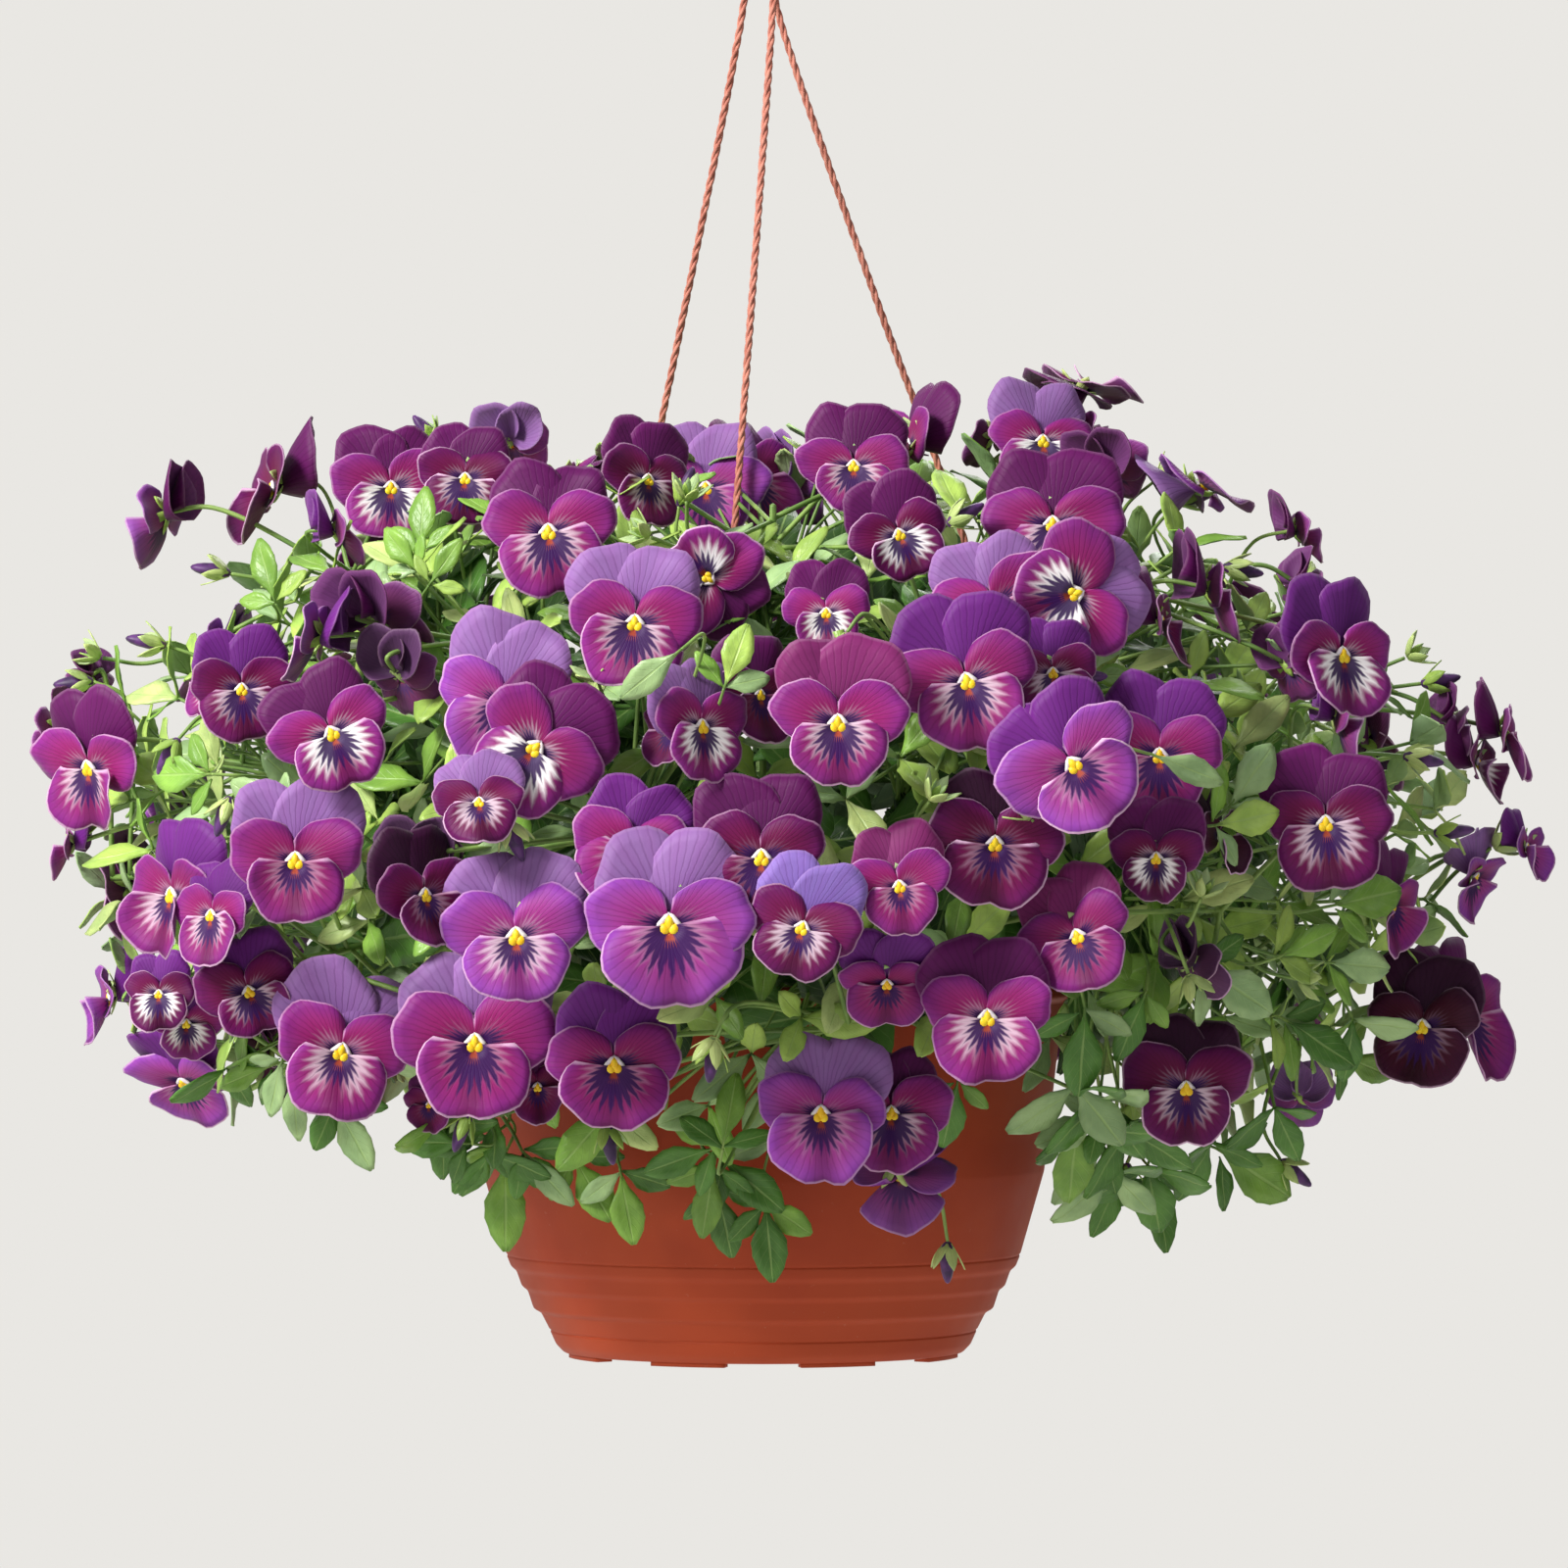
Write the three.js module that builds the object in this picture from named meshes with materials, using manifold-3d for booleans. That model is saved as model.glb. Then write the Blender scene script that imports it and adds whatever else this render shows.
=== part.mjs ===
// A terracotta-coloured hanging pot on three twisted ropes, filled with trailing violas in bloom.
// Millimetres, +Z up. The origin is the point inside the hook where it hangs on its support.
// -Y is the side that the reference view looks at, +X is to its right.
import * as THREE from "three";
import { mergeVertices } from "three/addons/utils/BufferGeometryUtils.js";
import Module from "manifold-3d";

const wasm = await Module();
wasm.setup();

// ---- Driving dimensions ----
const RIM_RADIUS = 126; // outside of the pot's rim
const POT_HEIGHT = 153; // rim to feet
const FOOT_HEIGHT = 1.6;
const FOOT_COUNT = 8;
const SOIL_DROP = 16; // soil surface below the rim
const SOIL_RADIUS = 118.6;
const SOIL_CROWN = 3; // how far the soil is heaped up in the middle, and low at the wall
const FIT = 0.35; // gap between pieces that touch
const HOOK_INNER_RADIUS = 12;
const HOOK_ROD = 3; // radius of the hook's round bar
const COLLAR_RADIUS = 11; // disc under the hook that the ropes are knotted through
const COLLAR_THICK = 4;
const COLLAR_TOP = -62;
const ROPE_RADIUS = 1.6;
const ROPE_HOLE_RADIUS = 2.9;
const KNOT_RADIUS = 3.9;
const RIM_TOP = -472;
const STEM_CIRCLE = 86; // the outermost stems leave the soil this far from the middle
const STEM_RISE = 4; // how far above the rim the stems have cleared the pot
const SPREAD = { radius: 130, height: 22 }; // where the trailing stems pass over the rim, above it
const CANOPY = { x: 290, y: 255, z: 165, height: -412 }; // half-sizes and centre of the bloom surface
const HANG_RADIUS = 146; // what trails below the rim keeps this far from the pot's axis
const LAYER = 7; // one step of overlap between neighbouring blooms
const PETAL_THICK = 0.9;
const LEAF_THICK = 0.9;
const DISH = 0.04; // depth of a bloom's throat, as a share of its height
const SPUR_LENGTH = 48; // bare axis of a bunch, which the flower stalks branch from
const STALK_RADIUS = 1.7;
const PEDICEL_RADIUS = 1.15;
const PETIOLE_RADIUS = 0.9;
const STALK_SIDES = 3; // of the fine stalks of blooms and leaves
const NECK = 13; // nodding end of a flower stalk behind its bloom
const BUD = { radius: 4, length: 9 }; // half-sizes
const CORE = { low: { share: 0.84, radius: 30 }, high: { share: 0.72, radius: 43 } }; // dense inner growth
const WHORL = { share: 0.98, reach: 46 }; // ring of leaves near a stem's tip
const BACK_BLOOMS = 36;
const BACK_BLOOM_HEIGHT = [47, 56];

// ---- The reference view, which gives the front blooms their places ----
const VIEW = { distance: 3512, mmPerPixel: 0.4, centre: 800, axisX: 779, height: -392 };

const POT_BASE = RIM_TOP - POT_HEIGHT;
const SOIL_TOP = RIM_TOP - SOIL_DROP;

const COLOURS = {
  terracotta: { color: 0xa8452a, roughness: 0.55, metalness: 0 },
  rope: { color: 0xb5694f, roughness: 0.8, metalness: 0 },
  soil: { color: 0x3a2a20, roughness: 1, metalness: 0 },
  petal: { color: 0x7a2a7e, roughness: 0.6, metalness: 0 },
  leaf: { color: 0x4f7a35, roughness: 0.55, metalness: 0 },
};

// ---- Solids ----
function solid(geometry, matrix) {
  const bare = geometry.index ? geometry.toNonIndexed() : geometry.clone();
  bare.deleteAttribute("normal");
  bare.deleteAttribute("uv");
  if (matrix) bare.applyMatrix4(matrix);
  const merged = mergeVertices(bare, 1e-4);
  return new wasm.Manifold(
    new wasm.Mesh({
      numProp: 3,
      vertProperties: new Float32Array(merged.attributes.position.array),
      triVerts: new Uint32Array(merged.index.array),
    }),
  );
}

function joined(solids) {
  return solids.length > 1 ? wasm.Manifold.union(solids) : solids[0];
}

// Two faces of the same triangles, with a wall round the rim. Points run anticlockwise seen from the
// front (+Z).
function plate(points, rimCount, faces, thickness) {
  const n = points.length;
  const position = [...points, ...points.map(([a, b, c]) => [a, b, c - thickness])].flat();
  const index = faces.flatMap(([i, j, k]) => [i, j, k, i + n, k + n, j + n]);
  for (let i = 0; i < rimCount; i++) {
    const j = (i + 1) % rimCount;
    index.push(j, i, i + n, j, i + n, j + n);
  }
  const geometry = new THREE.BufferGeometry();
  geometry.setAttribute("position", new THREE.Float32BufferAttribute(position, 3));
  geometry.setIndex(index);
  return geometry;
}

// A round bar or stem along a smooth line through the given points.
function rod(points, radius, sides, steps) {
  const section = new THREE.Shape();
  for (let i = 0; i < sides; i++) {
    const turn = (i / sides) * Math.PI * 2;
    const at = [Math.cos(turn) * radius, Math.sin(turn) * radius];
    i ? section.lineTo(...at) : section.moveTo(...at);
  }
  const line = points.length > 2 ? new THREE.CatmullRomCurve3(points) : new THREE.LineCurve3(...points);
  return new THREE.ExtrudeGeometry(section, { steps, extrudePath: line, bevelEnabled: false });
}

const nodes = new THREE.Group();
const WELD = 0.002; // corners closer than this are one
const HARD = [0.02, 0.01]; // roundings to try in turn, on made pieces and on grown ones
const GROWN = [0.2, 0.25, 0.15, 0.3, 0.1, 0.35, 0.05];

// Whether each edge of a mesh runs once each way, so that its surface is closed and touches itself nowhere.
function closed(geometry) {
  const corners = geometry.index.array;
  const edges = new Set();
  for (let i = 0; i < corners.length; i += 3) {
    for (let j = 0; j < 3; j++) edges.add(`${corners[i + j]} ${corners[i + ((j + 1) % 3)]}`);
  }
  const returned = [...edges].every((edge) => edges.has(edge.split(" ").reverse().join(" ")));
  return returned && edges.size === corners.length;
}

function wholeTriangles(corners) {
  const triangles = Array.from({ length: corners.length / 3 }, (_, i) => corners.slice(3 * i, 3 * i + 3));
  return triangles.filter((triangle) => new Set(triangle).size === 3).flat();
}

// Adds a node. Rounding drops the slivers that cuts and joins leave.
function addNode(name, made, look, roundings) {
  for (const rounding of roundings) {
    const { vertProperties, triVerts } = largest(made.asOriginal().simplify(rounding)).getMesh();
    const rough = new THREE.BufferGeometry();
    rough.setAttribute("position", new THREE.BufferAttribute(vertProperties, 3));
    rough.setIndex(new THREE.BufferAttribute(triVerts, 1));
    const geometry = mergeVertices(rough, WELD);
    geometry.setIndex(wholeTriangles([...geometry.index.array]));
    if (!closed(geometry)) continue;
    geometry.computeVertexNormals();
    const mesh = new THREE.Mesh(geometry, new THREE.MeshStandardMaterial(COLOURS[look]));
    mesh.name = name;
    nodes.add(mesh);
    return;
  }
  throw new Error(`${name} doesn't close`);
}

// The largest connected piece of a solid: loose scraps left by a cut are dropped.
function largest(made) {
  const pieces = made.decompose();
  return pieces.reduce((best, piece) => (piece.volume() > best.volume() ? piece : best));
}

// ---- Pot ----
const POT_SEGMENTS = 24;
const LUG = { radius: 117, width: 14, reach: 14, thick: 3, below: 5 }; // rim tabs with the rope holes
const ROPE_CIRCLE = LUG.radius - 3;
const FOOT = { radius: 75, width: 9, length: 34 };
const ROPE_TURNS = [258, 140, 20]; // degrees round the rim: front, rear left, rear right

// Outside of the wall from the foot to the rim: [radius, height above the base].
const POT_OUTSIDE = [
  [81.5, 0], [84.5, 3], [91, 16.5], [93.8, 18], [96.4, 25.5], [98.6, 27], [100.8, 33.5], [103, 35],
  [107, 45.5], [114.6, 74], [122.4, 143], [RIM_RADIUS, 145], [RIM_RADIUS, POT_HEIGHT - FOOT_HEIGHT],
];
const FLOOR = 3.4; // thickness of the pot's bottom
const LIP_INSIDE = RIM_RADIUS - 4.5;
const POT_INSIDE = [[LIP_INSIDE, POT_HEIGHT - FOOT_HEIGHT], [120, 141], [112, 74], [101, 42], [80, FLOOR]];

function turned(profile, segments, height) {
  const points = profile.map(([radius, z]) => new THREE.Vector2(radius, z));
  const upright = new THREE.Matrix4().makeRotationX(Math.PI / 2).setPosition(0, 0, height);
  return solid(new THREE.LatheGeometry(points, segments), upright);
}

function onRim(degrees, radius, z) {
  const turn = THREE.MathUtils.degToRad(degrees);
  return new THREE.Vector3(Math.cos(turn) * radius, Math.sin(turn) * radius, z);
}

function pot() {
  const bottom = POT_BASE + FOOT_HEIGHT;
  const shell = turned([[0, 0], ...POT_OUTSIDE, ...POT_INSIDE, [0, FLOOR]], POT_SEGMENTS, bottom);
  const parts = [shell];
  for (let i = 0; i < FOOT_COUNT; i++) {
    const foot = new THREE.BoxGeometry(FOOT.width, FOOT.length, FOOT_HEIGHT + 1);
    const turn = new THREE.Matrix4().makeRotationZ(((i + 0.5) / FOOT_COUNT) * Math.PI * 2);
    parts.push(solid(foot.translate(FOOT.radius, 0, POT_BASE + (FOOT_HEIGHT + 1) / 2), turn));
  }
  const holes = [];
  for (const degrees of ROPE_TURNS) {
    const turn = new THREE.Matrix4().makeRotationZ(THREE.MathUtils.degToRad(degrees));
    const lugTop = RIM_TOP - LUG.below;
    const lug = new THREE.BoxGeometry(LUG.reach, LUG.width, LUG.thick);
    parts.push(solid(lug.translate(LUG.radius - 1, 0, lugTop - LUG.thick / 2), turn));
    const hole = new THREE.CylinderGeometry(ROPE_HOLE_RADIUS, ROPE_HOLE_RADIUS, LUG.thick + 2, 8);
    hole.rotateX(Math.PI / 2).translate(ROPE_CIRCLE, 0, lugTop - LUG.thick / 2);
    holes.push(solid(hole, turn));
  }
  return joined(parts).subtract(joined(holes));
}

// The lug stands inside the wall, so the soil lies under it; the knots sit in small hollows in the soil.
function soil(ropes) {
  const base = POT_BASE + FOOT_HEIGHT;
  const top = SOIL_TOP - base;
  const wall = POT_INSIDE.slice(2).reverse().map(([radius, z]) => [radius - FIT, Math.max(z, FLOOR + FIT)]);
  const profile = [[0, FLOOR + FIT], ...wall, [SOIL_RADIUS, top - SOIL_CROWN], [0, top + SOIL_CROWN]];
  return turned(profile, POT_SEGMENTS, base).subtract(ropes);
}

// ---- Hook and ropes ----
const HOOK_TURN = { from: -42, to: 212, step: 28 }; // degrees round the eye, from the shank to the tip
const SHANK = 14;

function hook() {
  const centreline = HOOK_INNER_RADIUS + HOOK_ROD;
  const points = [new THREE.Vector3(0, 0, COLLAR_TOP - 2), new THREE.Vector3(0, 0, COLLAR_TOP + SHANK)];
  for (let degrees = HOOK_TURN.from; degrees <= HOOK_TURN.to; degrees += HOOK_TURN.step) {
    const turn = THREE.MathUtils.degToRad(degrees);
    const z = -HOOK_INNER_RADIUS + Math.sin(turn) * centreline;
    points.push(new THREE.Vector3(Math.cos(turn) * centreline, 0, z));
  }
  const collar = new THREE.CylinderGeometry(COLLAR_RADIUS, COLLAR_RADIUS, COLLAR_THICK, 16);
  const eye = solid(rod(points, HOOK_ROD, 6, 18));
  const disc = solid(collar.rotateX(Math.PI / 2).translate(0, 0, COLLAR_TOP - COLLAR_THICK / 2));
  const holes = ROPE_TOPS.map(([x, y]) => {
    const hole = new THREE.CylinderGeometry(ROPE_HOLE_RADIUS, ROPE_HOLE_RADIUS, COLLAR_THICK + 2, 8);
    return solid(hole.rotateX(Math.PI / 2).translate(x, y, COLLAR_TOP - COLLAR_THICK / 2));
  });
  return joined([eye, disc]).subtract(joined(holes));
}

// Where each rope passes the collar, and where the crown of the plants bows it out, if it does.
const ROPE_TOPS = [[4.2, -6.2], [-7.4, 0.6], [4.2, 6.2]];
const RIGHT_BOW = [[45, 14, -190], [80, 27, -284], [98, 33, -345]].map((at) => new THREE.Vector3(...at));
const ROPE_BOWS = [[], [], RIGHT_BOW];

function ropeLine(i) {
  const [x, y] = ROPE_TOPS[i];
  const foot = onRim(ROPE_TURNS[i], ROPE_CIRCLE, RIM_TOP);
  return [
    new THREE.Vector3(x, y, COLLAR_TOP + 1),
    new THREE.Vector3(x, y, COLLAR_TOP - COLLAR_THICK - 3),
    ...ROPE_BOWS[i],
    foot.clone().setZ(RIM_TOP + 3),
    foot.clone().setZ(RIM_TOP - LUG.below - LUG.thick - 1),
  ];
}

function rope(i, radius, knot) {
  const line = ropeLine(i);
  const ends = [line[0].clone(), line[line.length - 1].clone()];
  ends[0].z = COLLAR_TOP + FIT + knot * 0.8;
  ends[1].z = RIM_TOP - LUG.below - LUG.thick - FIT - knot * 0.8;
  const knots = ends.map((at) => {
    const ball = new THREE.IcosahedronGeometry(knot, 0).scale(1, 1, 0.8);
    return solid(ball.translate(at.x, at.y, at.z));
  });
  return joined([solid(rod(line, radius, 8, ROPE_BOWS[i].length ? 16 : 9)), ...knots]);
}

// ---- Blooms ----
// Front blooms as read from the reference view. Each row holds the eye's pixel x and y, the bloom's
// height in pixels, its turn to the right, its tilt up and its roll (lip swung to the left), in
// degrees, and its layer: the higher, the further it stands out over its neighbours.
const FRONT_BLOOMS = [
  // top left
  [400, 500, 130, 5, 5, 0, 1], [475, 490, 112, 0, 5, 0, 0], [522, 452, 95, 170, 10, 0, -2],
  [560, 545, 150, 0, 5, -3, 2], [661, 491, 112, 28, 5, 8, 0], [278, 500, 140, -75, 5, 0, 0],
  [345, 545, 90, 100, 10, 0, -1], [168, 530, 110, -110, -5, 0, 0], [385, 632, 120, 140, 20, 0, 0],
  [325, 655, 110, -100, 10, 0, 1],
  // top middle, behind the front rope
  [720, 500, 135, 0, 10, 0, -12], [768, 490, 125, 50, 5, 0, -15], [808, 490, 105, 120, 0, 0, -18],
  // top right
  [871, 477, 118, 0, 8, 0, -1], [926, 455, 120, -65, 5, 0, 0], [918, 547, 112, 10, 0, -18, 2],
  [1064, 452, 130, 15, 10, 5, 0], [1012, 448, 80, -120, 10, 0, -3], [1108, 440, 85, 100, 10, 0, -4],
  [1128, 478, 95, 150, 20, 0, 0], [1074, 537, 150, 0, 5, 0, 1], [1095, 607, 140, 5, 0, 72, 3],
  [1015, 618, 140, -5, 5, -20, 1], [1325, 545, 85, 100, 10, 0, 0], [1325, 600, 70, 120, -30, 0, 0],
  [1235, 605, 110, 100, 0, 0, 0], [1185, 635, 100, 80, 0, 0, -1],
  // middle left
  [247, 705, 115, 10, 0, 0, 1], [215, 700, 80, -60, 0, 0, -1], [340, 750, 135, 5, 0, -28, 3],
  [410, 690, 90, 150, 0, 0, -2], [92, 785, 150, -40, -20, 0, 1], [58, 745, 80, -110, -10, 0, 0],
  [95, 695, 65, -140, -40, 0, -1], [72, 865, 80, -85, 0, 0, -1], [176, 915, 145, -50, -5, 0, 1],
  [217, 935, 110, -38, 0, 0, 2], [302, 880, 155, 0, 0, 0, 3], [490, 820, 100, 0, 20, 0, 3],
  [512, 718, 160, -8, 0, 12, 0], [545, 765, 150, 0, 0, 42, 2], [436, 914, 125, 42, 0, 0, 2],
  [430, 875, 90, 170, 20, 0, 1],
  // centre
  [648, 638, 148, 0, 5, 3, 2], [722, 590, 115, 5, 0, 130, 1], [843, 627, 100, 0, 5, 0, 2],
  [716, 743, 130, 38, 0, 0, 1], [775, 710, 105, 40, 0, 0, -1], [685, 745, 85, -50, 0, 0, -1],
  [855, 740, 155, 0, 0, 0, 3], [987, 697, 150, 0, 0, -14, 3], [643, 867, 135, 0, 0, 18, 1],
  [777, 877, 150, 0, 0, 0, 1], [818, 948, 125, -5, 0, 18, 2], [683, 945, 180, 0, 0, 0, 3],
  [528, 957, 160, 0, 0, -4, 3], [918, 906, 115, 0, 0, -10, 2],
  // middle right
  [1074, 688, 100, 12, 0, 0, 2], [1015, 862, 140, 8, -15, 0, 1], [1095, 782, 150, 0, 0, -38, 3],
  [1183, 773, 140, 0, 0, 0, 1], [1180, 877, 110, -20, -5, 0, 2], [1245, 855, 90, 60, 0, 0, -1],
  [1352, 842, 145, 0, 0, 0, 3], [1362, 672, 150, 38, 0, 0, 1], [1365, 735, 110, 90, -10, 0, 0],
  [1315, 680, 80, 140, 0, 0, -1], [1480, 740, 75, 110, -20, 0, 0], [1508, 780, 100, 75, 0, 0, 0],
  [1535, 750, 110, 82, 0, 0, -1], [1558, 865, 78, 65, 0, 0, 0], [1505, 895, 95, 60, -35, 0, 0],
  [1420, 925, 110, 60, -20, 0, 0],
  // lower left
  [163, 1015, 82, -10, 0, 0, 2], [112, 1020, 115, -80, -5, 0, 0], [190, 1045, 90, 20, -20, 0, 0],
  [255, 1013, 112, 5, 0, -15, 2], [188, 1105, 130, -30, -50, 0, 1], [348, 1075, 160, 8, 0, 14, 2],
  [485, 1066, 165, 0, 0, 0, 2], [438, 1128, 60, -20, -10, 0, 0], [548, 1110, 85, 20, -10, 0, 0],
  // lower middle and right
  [627, 1088, 150, 0, -5, 0, 2], [838, 1138, 150, -8, 0, 0, 3], [909, 1137, 130, 15, 0, 0, 2],
  [920, 1200, 115, 170, -50, 0, 2], [905, 1005, 100, 0, -30, 0, 0], [1007, 1040, 150, 0, 0, 0, 3],
  [1100, 957, 135, -15, 0, -20, 2], [1218, 985, 90, 120, 0, 0, -1], [1210, 1112, 135, 0, 0, 0, 2],
  [1327, 1120, 80, 175, 0, 0, -3], [1448, 1048, 140, -20, 0, 0, 1], [1497, 1038, 150, 60, 0, 0, 0],
];

// Leaves that show between the front blooms: pixel x and y of the middle, length in pixels, the way
// the tip points in degrees clockwise from up, and the layer.
const FRONT_LEAVES = [
  [430, 528, 75, 0, 2], [407, 560, 60, -40, 2], [455, 572, 60, 35, 2], [270, 580, 75, -20, 0],
  [180, 790, 80, -90, 1], [260, 815, 75, -60, 1], [495, 882, 85, 60, 1], [662, 690, 80, 200, 4],
  [752, 668, 70, 20, 1], [1130, 655, 80, 30, 1], [1215, 785, 85, 110, 4], [1280, 790, 85, 40, 1],
  [1275, 835, 80, 80, 0], [1268, 1012, 100, 120, 1], [1340, 962, 85, 70, 1], [1400, 915, 100, 80, 1],
  [1390, 985, 85, 95, 1], [1350, 1065, 105, 120, 1], [1400, 1090, 85, 110, 0], [1155, 1050, 80, 200, 0],
  [1105, 1078, 95, 180, 1], [970, 1140, 75, 190, 0], [1090, 1155, 75, 250, 1], [1100, 1200, 85, 220, 1],
  [1130, 1232, 80, 200, 1], [1185, 1240, 90, 170, 1], [1285, 1200, 115, 120, 1], [515, 1230, 105, 180, 1],
  [560, 1205, 80, 140, 1], [605, 1215, 80, 150, 0], [470, 1160, 80, 240, 0], [440, 1165, 75, 270, 1],
  [480, 1190, 75, 215, 1], [640, 1235, 80, 170, 1], [690, 1185, 80, 250, 1], [770, 1210, 85, 130, 1],
  [722, 1228, 80, 190, 1], [740, 1252, 80, 170, 0], [745, 1130, 80, 10, 1], [785, 1270, 85, 175, 1],
  [245, 1100, 75, 250, 0], [280, 1112, 70, 200, 1], [300, 1132, 75, 180, 1], [360, 1160, 85, 150, 0],
];

// Flower buds: pixel x and y, the way the tip points in degrees clockwise from up, and the layer.
const FRONT_BUDS = [
  [215, 582, -80, 0], [150, 655, -80, 0], [75, 697, -95, 0], [172, 772, -150, 1], [228, 833, 200, 1],
  [1218, 507, 80, 0], [1268, 582, 100, 0], [1470, 694, 80, 0], [1452, 775, 100, 0], [1483, 848, 85, 0],
  [1322, 1197, 130, 0], [967, 1288, 180, -3], [471, 1155, 200, 1], [526, 858, 160, 3], [1150, 1207, 180, 1],
  [727, 1083, 190, 2], [985, 525, 60, 1], [1108, 690, 90, 1], [435, 440, -40, 1], [700, 497, 20, 0],
  [855, 650, 170, 1], [622, 1167, 170, 2],
];

// ---- Placing ----
const SHOOTS = 24;
const [HIGHEST, LOWEST] = [0.9, -0.68]; // rise of the first stem and the last, as sines
const TRAILING_RISE = 0.05; // stems that rise less than this trail over the rim
const GOLDEN_ANGLE = Math.PI * (3 - Math.sqrt(5));
const CLEARANCE = 2.6; // between the faces of neighbouring blooms and leaves
const NEIGHBOURHOOD = 75;
const NUDGE = 2;
const MOST_NUDGES = 40;

// A repeatable number between 0 and 1 for each count and use.
function scatter(count, use) {
  const wave = Math.sin(count * 12.9898 + use * 78.233) * 43758.5453;
  return wave - Math.floor(wave);
}

// The point that the reference view shows at a pixel, on the canopy's front surface.
function inView(x, y, layer) {
  const offset = (VIEW.centre - VIEW.axisX) * VIEW.mmPerPixel;
  const at = new THREE.Vector3(0, 0, 0);
  for (let i = 0; i < 3; i++) {
    const reach = (VIEW.distance + at.y) / VIEW.distance;
    at.x = offset + (x - VIEW.centre) * VIEW.mmPerPixel * reach;
    at.z = VIEW.height - (y - VIEW.centre) * VIEW.mmPerPixel * reach;
    const rest = 1 - (at.x / CANOPY.x) ** 2 - ((at.z - CANOPY.height) / CANOPY.z) ** 2;
    at.y = -CANOPY.y * Math.sqrt(Math.max(0, rest)) - layer * LAYER;
    const beforePot = HANG_RADIUS ** 2 - at.x ** 2;
    if (at.z < RIM_TOP + 20 && beforePot > 0) at.y = Math.min(at.y, -Math.sqrt(beforePot));
  }
  return at;
}

function onCanopy(toward, share) {
  return new THREE.Vector3(CANOPY.x * toward.x, CANOPY.y * toward.y, CANOPY.z * toward.z)
    .multiplyScalar(share)
    .setZ(CANOPY.height + CANOPY.z * toward.z * share);
}

// Face matrix: x to the right, y up and z out of the face, seen by someone in front of it.
function facing(at, yaw, pitch, roll) {
  const turn = THREE.MathUtils.degToRad;
  return new THREE.Matrix4()
    .makeTranslation(at)
    .multiply(new THREE.Matrix4().makeRotationZ(turn(yaw)))
    .multiply(new THREE.Matrix4().makeRotationX(turn(90 - pitch)))
    .multiply(new THREE.Matrix4().makeRotationZ(turn(-roll)));
}

function yawOf(toward) {
  return THREE.MathUtils.radToDeg(Math.atan2(toward.x, -toward.y));
}

// Points over a face, taken as an oval: its rim, a ring half-way in and the middle.
function spots({ oval }) {
  const rings = [1, 0.55].flatMap((share) =>
    Array.from({ length: 12 }, (_, i) => {
      const turn = (i / 12) * Math.PI * 2;
      const [x, y] = [Math.cos(turn) * oval.x, Math.sin(turn) * oval.y];
      return new THREE.Vector3(x * share, oval.middle + y * share, 0);
    }),
  );
  return [...rings, new THREE.Vector3(0, oval.middle, 0)];
}

// Whether one face runs through the other: it has spots on both sides of it, or too close to it.
function crosses(one, other) {
  const toOther = other.face.clone().invert().multiply(one.face);
  const sides = spots(one)
    .map((spot) => spot.applyMatrix4(toOther))
    .filter(({ x, y }) => (x / other.oval.x) ** 2 + ((y - other.oval.middle) / other.oval.y) ** 2 < 1)
    .map(({ z }) => (Math.abs(z) < CLEARANCE ? 0 : Math.sign(z)));
  return sides.includes(0) || (sides.includes(1) && sides.includes(-1));
}

const placed = [];

// Moves a face outward until it clears all that are placed already.
function settle(item, outward) {
  const at = new THREE.Vector3();
  for (let i = 0; i < MOST_NUDGES; i++) {
    at.setFromMatrixPosition(item.face);
    const near = placed.filter((other) => at.distanceTo(other.at) < NEIGHBOURHOOD);
    if (!near.some((other) => crosses(item, other) || crosses(other, item))) break;
    item.face.setPosition(at.addScaledVector(outward, NUDGE));
  }
  item.at = at.clone();
  placed.push(item);
  return item;
}

// The stems fan out from the soil: each leads to its own part of the canopy, the last ones over the rim.
const shoots = Array.from({ length: SHOOTS }, (_, i) => {
  const rise = HIGHEST - ((HIGHEST - LOWEST) * (i + 0.5)) / SHOOTS;
  const level = Math.sqrt(1 - rise * rise);
  const turn = i * GOLDEN_ANGLE - Math.PI / 2;
  const toward = new THREE.Vector3(Math.cos(turn) * level, Math.sin(turn) * level, rise);
  const low = rise < TRAILING_RISE;
  const ground = SOIL_TOP + SOIL_CROWN * (1 - (2 * STEM_CIRCLE * level) / SOIL_RADIUS);
  const foot = new THREE.Vector3(toward.x * STEM_CIRCLE, toward.y * STEM_CIRCLE, ground + FIT);
  const ray = new THREE.Vector3(Math.cos(turn), Math.sin(turn), 0);
  const over = ray.clone().multiplyScalar(SPREAD.radius).setZ(RIM_TOP + SPREAD.height);
  const fork = onCanopy(toward, low ? 0.8 : 0.7);
  const stem = [foot, foot.clone().setZ(RIM_TOP + STEM_RISE), ...(low ? [over] : []), fork];
  const aside = new THREE.Vector3(-ray.y, ray.x, 0).multiplyScalar(2 * STALK_RADIUS + FIT + 0.3);
  const outward = onCanopy(toward, 1).sub(fork).normalize();
  const spurFoot = fork.clone().add(aside).addScaledVector(outward, -8);
  const spur = [spurFoot, spurFoot.clone().addScaledVector(outward, SPUR_LENGTH)];
  return { toward, low, stem, fork, spur, leaves: [], inner: [], blooms: [], buds: [] };
});

function nearestShoot(at) {
  const gap = (shoot) => onCanopy(shoot.toward, 1).distanceTo(at);
  return shoots.reduce((best, shoot) => (gap(shoot) < gap(best) ? shoot : best));
}

function bloomItem(face, height, full) {
  const oval = { x: 0.45 * height, y: 0.5 * height, middle: 0.07 * height };
  return { kind: "blooms", face, height, full, oval };
}

function leafItem(face, length) {
  return { kind: "leaves", face, length, oval: { x: 0.26 * length, y: 0.5 * length, middle: 0 } };
}

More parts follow.
